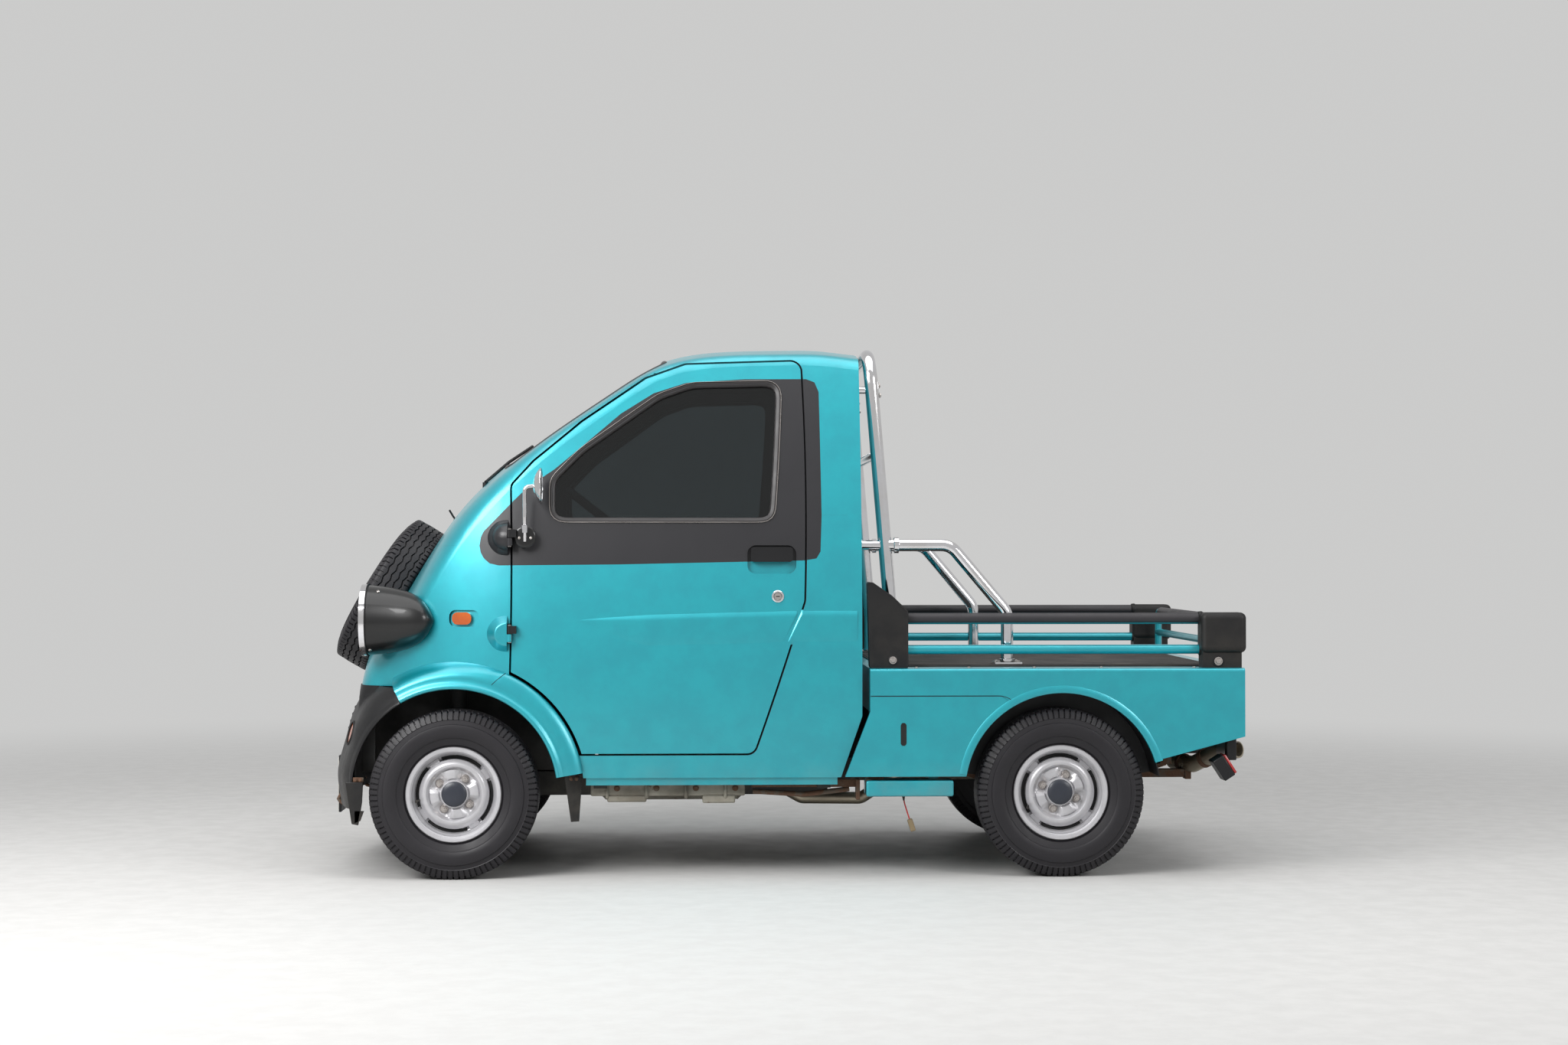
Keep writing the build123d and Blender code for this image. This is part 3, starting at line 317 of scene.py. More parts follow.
# %% Table of finishes
FINISHES = {
    "pod_black": dict(colour=rgb(9, 9, 10), rough=0.34, spread=0.03, grain=0.02, scale=1800, coat=0.3,
                      Specular_IOR_Level=0.4),
    "cover_grey": dict(colour=rgb(17, 17, 19), rough=0.5, spread=0.12, grain=0.25, scale=1100,
                       dirt=0.12, level=0.9, fade=0.4, Specular_IOR_Level=0.3),
    "bumper_black": dict(colour=rgb(15, 15, 17), rough=0.46, spread=0.12, grain=0.35, scale=900,
                         dirt=0.12, level=0.4, fade=0.3, Specular_IOR_Level=0.35),
    "sleeve_black": dict(colour=rgb(38, 36, 40), rough=0.5, spread=0.1, grain=0.15, scale=1500),
    "black_metal": dict(colour=rgb(24, 24, 26), rough=0.38, spread=0.12, grain=0.08, scale=1500,
                        metallic=0.2, Specular_IOR_Level=0.4),
    "chassis_black": dict(colour=rgb(20, 19, 18), rough=0.7, spread=0.2, grain=0.3, scale=500,
                          dirt=0.25, level=0.42, fade=0.3, rust=0.2, patch=9.0),
    "rusty_steel": dict(colour=rgb(84, 72, 60), rough=0.8, spread=0.2, grain=0.6, scale=600,
                        dirt=0.4, level=0.5, fade=0.4, rust=0.6, patch=22.0),
    "dirty_cast": dict(colour=rgb(146, 143, 132), second=rgb(112, 108, 98), rough=0.75, spread=0.2,
                       grain=0.5, scale=420, dirt=0.5, level=0.4, fade=0.2, rust=0.3, patch=16.0,
                       metallic=0.25),
    "chrome": dict(colour=rgb(226, 226, 230), second=rgb(216, 214, 214), metallic=1.0, rough=0.09,
                   spread=0.06, grain=0.02, scale=300),
    "pipe_steel": dict(colour=rgb(166, 156, 138), metallic=0.8, rough=0.36, spread=0.2, grain=0.2,
                       scale=700, rust=0.22, patch=26.0),
    "bolt_steel": dict(colour=rgb(186, 180, 176), metallic=0.9, rough=0.32, spread=0.2, grain=0.1,
                       scale=900, rust=0.2, patch=60.0),
    "rubber": dict(colour=rgb(20, 19, 20), rough=0.62, spread=0.16, grain=0.2, scale=1300,
                   dirt=0.2, level=0.45, fade=0.3, Specular_IOR_Level=0.3),
    "seal": dict(colour=rgb(34, 31, 32), rough=0.42, spread=0.12, grain=0.08, scale=1500),
    "tyre": dict(colour=rgb(11, 11, 12), second=rgb(16, 15, 17), rough=0.5, spread=0.16, grain=0.2,
                 scale=1000, dirt=0.0, Specular_IOR_Level=0.35),
    "wheel_paint": dict(colour=rgb(188, 187, 190), second=rgb(172, 171, 174), metallic=0.4, rough=0.36,
                        spread=0.12, grain=0.06, scale=900, rust=0.16, patch=24.0, coat=0.2),
    # Near-black: the brake drums' own colour, and painted shade for the wheel slots' arcs and the bed's side slot
    # plates.
    "drum_black_and_painted_shade": dict(colour=rgb(12, 12, 13), rough=0.85, spread=0.1),
    "cap_grey": dict(colour=rgb(40, 44, 54), rough=0.34, spread=0.1, grain=0.12, scale=1500),
    "dash_plastic": dict(colour=rgb(36, 36, 38), rough=0.6, spread=0.1, grain=0.45, scale=700),
    "seat_vinyl": dict(colour=rgb(44, 43, 46), second=rgb(60, 58, 62), rough=0.55, spread=0.15, grain=0.5,
                       scale=520),
    "mat_rubber": dict(colour=rgb(30, 29, 31), second=rgb(44, 42, 42), rough=0.66, spread=0.2, grain=0.3,
                       scale=700, dirt=0.2, level=0.8, fade=0.2),
    "lead_red": dict(colour=rgb(176, 52, 52), rough=0.42, spread=0.1, grain=0.05, scale=2000),
    "nylon_clear": dict(colour=rgb(128, 112, 84), rough=0.3, spread=0.1, grain=0.05, scale=2000),
    "brass": dict(colour=rgb(204, 158, 84), metallic=1.0, rough=0.32, spread=0.1, grain=0.05, scale=900),
    "plate_white": dict(colour=rgb(214, 212, 204), rough=0.45, spread=0.1, grain=0.06, scale=900,
                        dirt=0.4, level=0.4, fade=0.2),
    "mirror": dict(colour=rgb(210, 214, 216), metallic=1.0, rough=0.03, spread=0.01),
}


def sidewall_painted_highlight(tree, shade, shader):
    """Paints the bulge and the shoulder lighter than the bead and the groove beside the shoulder: painted highlight
    on the bulge, and on the shoulder painted highlight together with wear.
    """
    x, _, z = put(tree, "SeparateXYZ", put(tree, "TexCoord").outputs["Object"]).outputs
    far = calc(tree, "SQRT", calc(tree, "ADD", calc(tree, "MULTIPLY", x, x), calc(tree, "MULTIPLY", z, z)))
    bulge = calc(tree, "SUBTRACT", smooth_step(tree, far, 0.171, 0.178), smooth_step(tree, far, 0.208, 0.214))
    shoulder = smooth_step(tree, far, 0.226, 0.230)
    # Painted highlight: a lighter tone on the bulge and the shoulder, the shoulder's band also standing for wear.
    painted_highlight = calc(tree, "MAXIMUM", calc(tree, "MULTIPLY", bulge, 0.55), calc(tree, "MULTIPLY", shoulder, 0.8))
    return blend_colour(tree, painted_highlight, shade, rgb(30, 28, 32))


FINISHES["tyre"]["colour_hook"] = sidewall_painted_highlight
finishes = {name: finish(name, **dials) for name, dials in FINISHES.items()}
finishes.update(paint=paint, paint_band=paint_band, paint_cab=paint_cab)

# %% [markdown]
# ## Glass and lenses
# The panes are grey-tinted safety glass, dark against the shaded cab.  Lamp lenses are coloured
# plastic with a pressed pattern inside that breaks the light up.

# %% Glass finishes
def clear_finish(name, colour, rough, pattern=0.0, scale=120.0):
    """Glass or lens plastic with an optional pressed pattern."""
    material = bpy.data.materials.new(name)
    material.use_nodes = True
    tree = material.node_tree
    shader = tree.nodes["Principled BSDF"]
    shader.inputs["Transmission Weight"].default_value = 1.0
    shader.inputs["IOR"].default_value = 1.47
    place = put(tree, "TexCoord").outputs["Object"]
    smear = put(tree, "TexNoise", place, None, 5.0, 5.0, 0.6).outputs[0]
    feed(tree, shader.inputs["Roughness"], calc(tree, "MULTIPLY_ADD", smear, 0.04, rough))
    darker = tuple(0.88 * c for c in colour[:3]) + (1.0,)
    feed(tree, shader.inputs["Base Color"], blend_colour(tree, smear, colour, darker))
    if pattern:
        cells = put(tree, "TexVoronoi", place, None, scale, feature="SMOOTH_F1").outputs[0]
        bump = put(tree, "Bump", named={"Strength": pattern, "Distance": 0.002, "Height": cells})
        feed(tree, shader.inputs["Normal"], bump.outputs[0])
    return material


finishes["glass"] = clear_finish("tinted_glass", rgb(106, 117, 120), 0.0)
finishes["lens"] = clear_finish("lamp_glass", rgb(236, 240, 242), 0.0, 0.5, 90.0)
finishes["amber"] = finish("amber_lens", rgb(184, 84, 5), second=rgb(160, 68, 4), rough=0.22, spread=0.05,
                           grain=0.5, scale=240, coat=1.0)
finishes["red_lens"] = finish("red_lens", rgb(170, 22, 22), second=rgb(128, 14, 16), rough=0.2, spread=0.05,
                              grain=0.5, scale=240, coat=1.0)
print("finishes:", len(finishes))

# %% [markdown]
# ## Finishes for the solids that stay
# Each solid keeps its shape and takes a finish.  Solids that come later as a detailed mesh are
# still listed, since they show wherever the mesh is left out.

# %% Assign finishes to the solids
SOLID_FINISH = {
    "paint_band": ("cab_nose", "cab_sides", "door_left", "door_right", "door_hinges"),
    "paint_cab": ("cab_roof", "cab_rear_wall"),
    "paint": ("arch_flares", "bed_sides", "bed_ends", "bed_deck", "side_rails", "tail_gate", "step_box"),
    "glass": ("windshield", "rear_window", "door_glass_left", "door_glass_right"),
    "bumper_black": ("front_bumper",),
    "pod_black": ("headlamp_pods",),
    "chrome": ("headlamp_rims", "roll_hoop", "mirror_left", "mirror_right"),
    "lens": ("headlamp_lenses",),
    "amber": ("side_lamps",),
    "red_lens": ("rear_lamps",),
    "tyre": ("spare_tyre",) + tuple(f"tyre_{e}_{s}" for e in ("front", "rear") for s in ("left", "right")),
    "wheel_paint": ("spare_rim",) + tuple(f"rim_{e}_{s}" for e in ("front", "rear") for s in ("left", "right")),
    "black_metal": ("wipers", "door_fittings_left", "door_fittings_right"),
    "chassis_black": ("frame_rails", "cab_floor", "fuel_tank", "front_crossmember", "knuckle_left",
                      "knuckle_right"),
    "rusty_steel": ("leaf_springs", "rear_axle"),
    "dirty_cast": ("power_unit",),
    "pipe_steel": ("exhaust",),
    "dash_plastic": ("dashboard", "steering_wheel"),
    "seat_vinyl": ("seat",),
    "mat_rubber": ("deck_mat",),
    "sleeve_black": ("rail_sleeves", "gate_sleeve"),
    "cover_grey": ("rail_corners",),
    "rubber": ("mud_flaps",),
    "lead_red": ("red_lead",),
    "nylon_clear": ("lead_plug",),
}
for label, members in SOLID_FINISH.items():
    for node_name in members:
        solid = nodes[node_name]
        solid.data.materials.clear()
        solid.data.materials.append(finishes[label])
dressed = {name for members in SOLID_FINISH.values() for name in members}
print("dressed", len(dressed), "solids; bare:", sorted(set(nodes) - dressed))

# %% [markdown]
# ## Small tools for meshes
# Most parts of a vehicle are turned, bent from tube, or pressed with rounded edges.  `lathe` turns a
# profile about an axis, `pipe` runs a section along a path, `slab` is a box with soft edges, and
# `bolt` is a hexagon head on its washer.  Lengths are millimetres here and `make` scales them to
# metres, puts the finish on, and lets the piece ride on its body.

# %% Mesh helpers
MM = 0.001
UP, SIDEWAYS, FORWARD = Vector((0, 0, 1)), Vector((0, 1, 0)), Vector((1, 0, 0))
BACKWARD = (-1, 0, 0)
made = []


def frame_along(axis):
    """A matrix that turns +Z onto the axis."""
    return Vector(axis).normalized().to_track_quat("Z", "Y").to_matrix().to_4x4()


def make(name, shapes, look, body="chassis", bevel=0.0, smooth=40.0):
    """One object in metres from (points, faces) shapes in millimetres."""
    points, faces = [], []
    for shape_points, shape_faces in shapes:
        start = len(points)
        points.extend(tuple(MM * c for c in p) for p in shape_points)
        faces.extend([start + i for i in face] for face in shape_faces)
    mesh = bpy.data.meshes.new(name)
    mesh.from_pydata(points, [], faces)
    mesh.validate()
    work = bmesh.new()
    work.from_mesh(mesh)
    bmesh.ops.recalc_face_normals(work, faces=work.faces)
    work.to_mesh(mesh)
    work.free()
    return place(name, mesh, look, body, bevel, smooth)


def place(name, mesh, look, body, bevel=0.0, smooth=40.0):
    """Links a mesh as a piece with its finish, smooth faces and riding body."""
    obj = bpy.data.objects.new(name, mesh)
    bpy.context.scene.collection.objects.link(obj)
    mesh.materials.append(finishes[look])
    mesh.polygons.foreach_set("use_smooth", [True] * len(mesh.polygons))
    mesh.set_sharp_from_angle(angle=math.radians(smooth))
    if bevel:
        soften = obj.modifiers.new("soft_edges", "BEVEL")
        soften.width, soften.segments, soften.limit_method = bevel * MM, 2, "ANGLE"
        soften.angle_limit = math.radians(smooth)
    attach(obj, body)
    made.append(name)
    return obj


def moved(shape, matrix):
    """The same shape carried by a matrix."""
    return [matrix @ Vector(p) for p in shape[0]], shape[1]


def mirror_y(shape):
    """The shape on the other side of the truck."""
    return [(p[0], -p[1], p[2]) for p in shape[0]], [list(reversed(f)) for f in shape[1]]


def pair(*shapes):
    """Each shape with its mirror image."""
    return [item for shape in shapes for item in (shape, mirror_y(shape))]


def skin(rings, closed=True, caps=True):
    """Faces across a list of rings that all have the same number of points."""
    count = len(rings[0])
    points = [tuple(p) for ring in rings for p in ring]
    faces = []
    for r in range(len(rings) - 1):
        for i in range(count if closed else count - 1):
            j = (i + 1) % count
            faces.append((r * count + i, r * count + j, (r + 1) * count + j, (r + 1) * count + i))
    if caps:
        faces.append(tuple(reversed(range(count))))
        last = (len(rings) - 1) * count
        faces.append(tuple(range(last, last + count)))
    return points, faces


def closed_skin(rings, closed=True):
    """Faces across rings whose last one joins the first."""
    points, faces = skin(rings + [rings[0]], closed=closed, caps=False)
    last = len(points) - len(rings[0])
    return points[:last], [tuple(i - last if i >= last else i for i in f) for f in faces]


def lathe(profile, at=(0, 0, 0), axis=(0, 0, 1), segments=48, ring=False):
    """Turns (radius, along) points about an axis; ring=True joins the last point to the first."""
    turn = Matrix.Translation(at) @ frame_along(axis)
    rings = []
    for i in range(segments):
        angle = math.tau * i / segments
        c, n = math.cos(angle), math.sin(angle)
        rings.append([turn @ Vector((r * c, r * n, h)) for r, h in profile])
    return closed_skin(rings, ring)


def pipe(path, radius, sides=14, closed=False, section=None):
    """A tube along points; section is an optional list of (across, up) points."""
    path = [Vector(p) for p in path]
    section = section or [(radius * math.cos(math.tau * i / sides), radius * math.sin(math.tau * i / sides))
                          for i in range(sides)]
    rings, count = [], len(path)
    across = None
    for i, point in enumerate(path):
        before = path[i - 1] if i or closed else point
        after = path[(i + 1) % count] if i < count - 1 or closed else point
        along = (after - before).normalized()
        guess = across if across is not None else (SIDEWAYS if abs(along.y) < 0.9 else UP).cross(along)
        across = (guess - along * guess.dot(along)).normalized()
        up = along.cross(across)
        rings.append([point + across * a + up * b for a, b in section])
    return closed_skin(rings) if closed else skin(rings)


def slab(x0, x1, y0, y1, z0, z1):
    """A plain block between two corners; its piece takes a bevel."""
    points = [(x, y, z) for z in (z0, z1) for y in (y0, y1) for x in (x0, x1)]
    return points, [(0, 2, 3, 1), (4, 5, 7, 6), (0, 1, 5, 4), (2, 6, 7, 3), (0, 4, 6, 2), (1, 3, 7, 5)]


def bolt(at, axis, size=8.0, washer=1.5):
    """A hexagon head with a domed top on its washer."""
    turn = Matrix.Translation(at) @ frame_along(axis)
    rows = ((size * 0.98, washer), (size, washer + 1), (size, size * 0.62), (size * 0.86, size * 0.78))
    rings = [[turn @ Vector((r * math.cos(math.tau * i / 6), r * math.sin(math.tau * i / 6), h))
              for i in range(6)] for r, h in rows]
    plate = lathe([(0.1, 0), (size * 1.35, 0), (size * 1.35, washer), (0.1, washer + 0.1)], at, axis, 20)
    return [skin(rings), plate]


def screw(at, axis, size=5.0):
    """A round-headed screw with a cross recess."""
    head = lathe([(0.1, size * 0.45), (size * 0.6, size * 0.4), (size * 0.92, size * 0.2), (size, 0),
                  (0.1, -0.5)], at, axis, 20)
    turn = Matrix.Translation(at) @ frame_along(axis)
    slots = [moved(slab(*[c * size for c in box]), turn) for box in
             ((-0.5, 0.5, -0.09, 0.09, 0.36, 0.47), (-0.09, 0.09, -0.5, 0.5, 0.36, 0.47))]
    return [head] + slots


print("mesh helpers ready")

# %% [markdown]
# ## The loose red lead
# One wire hangs from the box under the bed's front corner and ends in a small clear connector.  It
# is a smooth curve through its route, with a tapered boot where it leaves the box.

# %% Lead
LEAD_ROUTE = ((-361, 592, 247.8), (-361.8, 592, 238), (-363, 592, 228), (-366.5, 592, 215), (-371, 592, 201),
              (-375, 592, 188.5), (-379, 592, 176))
line = bpy.data.curves.new("red_lead_line", "CURVE")
line.dimensions = "3D"
line.bevel_depth, line.bevel_resolution, line.resolution_u = 2.2 * MM, 5, 10
spline = line.splines.new("NURBS")
spline.points.add(len(LEAD_ROUTE) - 1)
for point, spot in zip(spline.points, LEAD_ROUTE):
    point.co = tuple(c * MM for c in spot) + (1.0,)
spline.order_u = 3
spline.use_endpoint_u = True
lead = bpy.data.objects.new("red_lead_wire", line)
bpy.context.scene.collection.objects.link(lead)
line.materials.append(finishes["lead_red"])
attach(lead, "chassis")
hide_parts("red_lead")
make("lead_boot", [lathe([(2.0, 0), (4.6, 0), (4.6, 3), (3.2, 10), (2.3, 16), (2.0, 16)],
                         (-361, 592, 247.5), (-0.06, 0, -1), 24, ring=True)], "rubber")
plug_tilt = Matrix.Translation((-385.2, 592, 157.4)) @ Matrix.Rotation(math.radians(18), 4, "Y")
ridges = [moved(slab(-7.6, 7.6, -8.8, 8.8, z, z + 2.4), plug_tilt) for z in (-14, -6, 2, 10)]
ribs = make("plug_ribs", ridges, "nylon_clear", bevel=0.6)

# %% [markdown]
# ## Tyres
# These are narrow ribbed truck tyres.  Four zigzag grooves part five ribs, and the shoulders carry
# short cross cuts.  The tyre is a stack of rings round the axle: every ring has the same points, but
# the groove points swing left and right from ring to ring, so the groove walls follow the zigzag
# exactly.  Where a ring falls in a cross cut, the shoulder points drop to its depth.  Each tyre
# is a copy of this mesh.

# %% Tyre mesh
TYRE_RADIUS, TREAD_HALF, TYRE_HALF = 256.0, 50.0, 71.0
ZIGZAGS = 44
GROOVES = (-30.0, -10.0, 10.0, 30.0)
GROOVE_HALF, GROOVE_DEPTH, SWING = 2.1, 6.5, 2.6
CUT_DEPTH = 6.0


def tyre_profile(phase, cut):
    """(radius, y) points from the inner to the outer bead; phase is the zigzag's swing."""
    low = CUT_DEPTH if cut else 0.0
    wall = [(129, -48), (143, -51), (146.5, -50), (150, -53.5), (151, -56.5), (160, -60.5), (170, -64), (172, -66.8),
            (174.5, -68.6), (188, -70.6), (198, -TYRE_HALF), (209, -70.4), (211.5, -69.6), (213, -66.6),
            (225, -64.6), (227, -65.6), (228.5, -64.6 + 0.9 * low), (237, -61.5 + 0.9 * low),
            (244, -58 + 0.8 * low)]
    shoulder = [(248 - low, -56), (252 - low, -53.5), (254.2 - low, -TREAD_HALF)]
    tread = [(254.9 - low, -44), (255.2 - low * 0.9, -39)]
    tread += [(255.2, -37.5)]
    for y in GROOVES:
        centre = y + SWING * phase * (1 if y in (-30.0, 10.0) else -1)
        crown = TYRE_RADIUS - 0.0009 * centre * centre
        tread += [(crown, centre - GROOVE_HALF - 0.3), (crown - GROOVE_DEPTH, centre - GROOVE_HALF * 0.55),
                  (crown - GROOVE_DEPTH, centre + GROOVE_HALF * 0.55), (crown, centre + GROOVE_HALF + 0.3)]
        middle = y + 10.0
        if middle < 30:
            tread.append((TYRE_RADIUS - 0.0009 * middle * middle, middle))
    tread += [(255.2, 37.5), (255.2 - low * 0.9, 39), (254.9 - low, 44)]
    return wall + shoulder + tread + [(r, -y) for r, y in reversed(shoulder)] + [
        (r, -y) for r, y in reversed(wall)]


def tyre_shape():
    """One tyre about the Y axis as rings of points."""
    rings, steps = [], []
    for i in range(ZIGZAGS):
        # share of the pitch, swing of the zigzag, and whether the ring lies in a cross cut
        for share, phase, cut in ((0.0, 1, 0), (0.15, 0.4, 0), (0.17, 0.32, 1), (0.28, -0.12, 1),
                                  (0.30, -0.2, 0), (0.5, -1, 0), (0.65, -0.4, 0), (0.67, -0.32, 1),
                                  (0.78, 0.12, 1), (0.80, 0.2, 0)):
            steps.append(((i + share) / ZIGZAGS * math.tau, phase, cut))
    for angle, phase, cut in steps:
        c, n = math.cos(angle), math.sin(angle)
        rings.append([(r * c, y, r * n) for r, y in tyre_profile(phase, cut)])
    return closed_skin(rings, closed=False)


def share_mesh(name, shapes, smooth=35.0):
    """A mesh datablock that pieces are copied from."""
    holder = make(name, shapes, "tyre", smooth=smooth)
    mesh = holder.data
    mesh.materials.clear()
    made.remove(name)
    bpy.data.objects.remove(holder)
    return mesh


tyre_mesh = share_mesh("ribbed_tyre", [tyre_shape()])
print("tyre:", len(tyre_mesh.polygons), "faces")

# %% [markdown]
# ## Pressed wheels
# The rim is turned, and so is the ring of the disc.  The inner dish isn't round: it rises and falls
# as it goes round, with four pads between the nuts and four pockets that the nuts sit in.  Four long
# slots open where the disc's edge runs straight, and near-black arcs laid on the rim's barrel inside
# them are painted shade for the dark of the openings.

# %% Wheel mesh
NUT_CIRCLE = 55.0
WHEEL_TURNS = 144
DISH_FLOOR = 25.0


def bump_between(angle, centre, half_width, edge):
    """1 within half_width of any of four equally spaced angles, falling to 0 over edge, in degrees."""
    off = abs((math.degrees(angle) - centre + 45.0) % 90.0 - 45.0)
    return max(0.0, min(1.0, (half_width + edge - off) / edge))


def rim_shapes():
    """Rim barrel, four tabs that bridge to the disc, and the disc about the Y axis, outer face towards +Y."""
    barrel = [(129, -49), (143, -52), (144, -57), (141, -58), (128, -54), (118, -44), (104, -30), (103, 14),
              (118, 20), (119.5, 32), (121, 37), (124, 42), (126.5, 49), (126.5, 51.5), (129, 54), (131, 56.4),
              (136, 57.8), (141.5, 58), (143.8, 55), (143.8, 51), (129, 49)]
    shapes = [lathe(barrel, (0, 0, 0), SIDEWAYS, 96, ring=True)]
    for i in range(4):
        start = math.radians(90 * i + 58)
        rows = [(103, 30), (118, 24), (118, 19), (103, 25)]
        turns = [start + math.radians(2.2 * k) for k in range(9)]
        shapes.append(skin([[(r * math.cos(a), y, r * math.sin(a)) for r, y in rows] for a in turns]))
    rings = []
    for i in range(WHEEL_TURNS):
        angle = math.tau * i / WHEEL_TURNS
        pad = bump_between(angle, 0.0, 13.0, 12.0)
        pocket = bump_between(angle, 45.0, 13.0, 10.0)
        rows = [(106.5, 18), (106.5, 27), (105, 31), (101, 33.4), (97.5, 36.6), (93, 39.4), (88.5, 40.6),
                (84, 39.8), (80.5, 36.5), (78, 31), (76, DISH_FLOOR + 2),
                (73, DISH_FLOOR + 6 * pad - 3 * pocket), (66, DISH_FLOOR + 7.5 * pad - 5.5 * pocket),
                (56, DISH_FLOOR + 8 * pad - 7 * pocket), (48, DISH_FLOOR + 7 * pad - 5.5 * pocket),
                (45, DISH_FLOOR + 2 - 2 * pocket), (42.5, DISH_FLOOR + 7), (41, DISH_FLOOR + 10),
                (38.6, DISH_FLOOR + 10.5), (37.5, DISH_FLOOR + 9), (33, DISH_FLOOR + 9), (33, 4), (76, 4),
                (98, 9), (105, 13)]
        c, n = math.cos(angle), math.sin(angle)
        rings.append([(r * c, y, r * n) for r, y in rows])
    shapes.append(closed_skin(rings))
    return shapes


def nut_shapes():
    """Four wheel nuts with cone seats."""
    shapes = []
    for i in range(4):
        angle = math.radians(45 + 90 * i)
        at = (NUT_CIRCLE * math.cos(angle), 19.5, NUT_CIRCLE * math.sin(angle))
        shapes.append(lathe([(0.1, 0), (13, 0), (13.5, 1.2), (10.5, 4.5), (0.1, 4.6)], at, SIDEWAYS, 24))
        corners = [math.tau * k / 6 + 0.3 for k in range(6)]
        nut = [[(at[0] + r * math.cos(a), at[1] + h, at[2] + r * math.sin(a)) for a in corners]
               for r, h in ((9.6, 2), (9.6, 11.5), (8.2, 13.5), (5.0, 14))]
        shapes.append(skin(nut))
        shapes.append(lathe([(4.6, 0), (4.6, 17.5), (3.6, 19), (0.1, 19.2)], at, SIDEWAYS, 16))
    return shapes


CAP_PROFILE = [(37, 27), (38.4, 30), (38.4, 36), (37, 40.5), (33, 43.4), (22, 45.2), (10, 45.8), (0.1, 45.9)]
wheel_mesh = share_mesh("pressed_wheel", rim_shapes(), smooth=30.0)
nut_mesh = share_mesh("wheel_nuts", nut_shapes())
cap_mesh = share_mesh("hub_cap", [lathe(CAP_PROFILE, (0, 0, 0), SIDEWAYS, 48)])
drum_and_slot_shade = [lathe([(0.1, 6), (60, 6), (100, 3), (102, -30), (0.1, -30)], (0, 0, 0), SIDEWAYS, 64)]
# Four near-black arcs on the rim's barrel, between the disc and the rim: painted shade for the open slots.
for i in range(4):
    turns = [math.radians(80 + 90 * i + 3.2 * k) for k in range(21)]
    rows = [(107.2, 17.5), (107.2, 20.4), (116.8, 21.0), (116.8, 19.0)]
    drum_and_slot_shade.append(skin([[(r * math.cos(a), y, r * math.sin(a)) for r, y in rows] for a in turns]))
drum_and_slot_shade_mesh = share_mesh("brake_drum_and_slot_shade", drum_and_slot_shade)
valve_mesh = share_mesh("valve", [
    pipe([(106, 30, 0), (111, 40, 0), (112, 52, 0)], 3.4, 10),
    lathe([(4.2, 0), (4.2, 10), (3.2, 12), (0.1, 12.2)], (112, 50, 0), SIDEWAYS, 14)])
print("wheel:", len(wheel_mesh.polygons), "faces")

# %% [markdown]
# ## Five wheels
# The road wheels stand on their axles with the dished face outwards.  The spare lies on its bracket
# with its face forwards and up, so its wheel axis is the tilt of the bracket.

# %% Place the wheels
def wheel_matrix(x, y, z, facing, spin):
    """Carries the wheel's +Y axis onto facing, turned by spin degrees about it."""
    turn = Vector(facing).normalized().to_track_quat("Y", "Z").to_matrix().to_4x4()
    return Matrix.Translation((x * MM, y * MM, z * MM)) @ turn @ Matrix.Rotation(math.radians(spin), 4, "Y")


SPARE_TILT = math.radians(30.8)
AXLE_Z, TRACK_HALF = 256, 555
WHEELS = (
    # name, body, place, facing, spin
    ("front_left", "wheel_front_left", (1000, TRACK_HALF, AXLE_Z), (0, 1, 0), 10),
    ("rear_left", "wheel_rear_left", (-840, TRACK_HALF, AXLE_Z), (0, 1, 0), 24),
    ("front_right", "wheel_front_right", (1000, -TRACK_HALF, AXLE_Z), (0, -1, 0), 40),
    ("rear_right", "wheel_rear_right", (-840, -TRACK_HALF, AXLE_Z), (0, -1, 0), 65),
    ("spare", "chassis", (1254.7, 0, 848), (math.cos(SPARE_TILT), 0, math.sin(SPARE_TILT)), 0),
)
for label, body, at, facing, spin in WHEELS:
    matrix = wheel_matrix(*at, facing, spin)
    for part, mesh, look in (("tyre", tyre_mesh, "tyre"), ("wheel", wheel_mesh, "wheel_paint"),
                             ("nuts", nut_mesh, "bolt_steel"), ("cap", cap_mesh, "cap_grey"),
                             ("drum_and_slot_shade", drum_and_slot_shade_mesh, "drum_black_and_painted_shade"), ("valve", valve_mesh, "rubber")):
        if label == "spare" and part in ("cap", "drum_and_slot_shade"):
            continue
        placed = mesh.copy()
        placed.transform(matrix)
        placed.materials.append(finishes[look])
        placed.polygons.foreach_set("use_smooth", [True] * len(placed.polygons))
        obj = bpy.data.objects.new(f"{part}_{label}_detailed", placed)
        bpy.context.scene.collection.objects.link(obj)
        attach(obj, body)
        made.append(obj.name)
        if part == "tyre":
            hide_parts("spare_tyre" if label == "spare" else f"tyre_{label}")
        if part == "wheel":
            if label != "spare":
                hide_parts(f"rim_{label}")
print("wheels placed:", len(WHEELS))

# %% [markdown]
# ## Rubber seals round the glass
# Every fixed pane sits in a rubber moulding that stands a little proud of the body and covers the
# cut edge.  The opening's own outline says where it runs, so the seal is made by reading the edge
# of the glass: the pane's outer rim is found, put in order, and a flat D-shaped section is run
# along it.  A narrow bright steel strip on the door panes' moulding is a painted highlight along its bead.

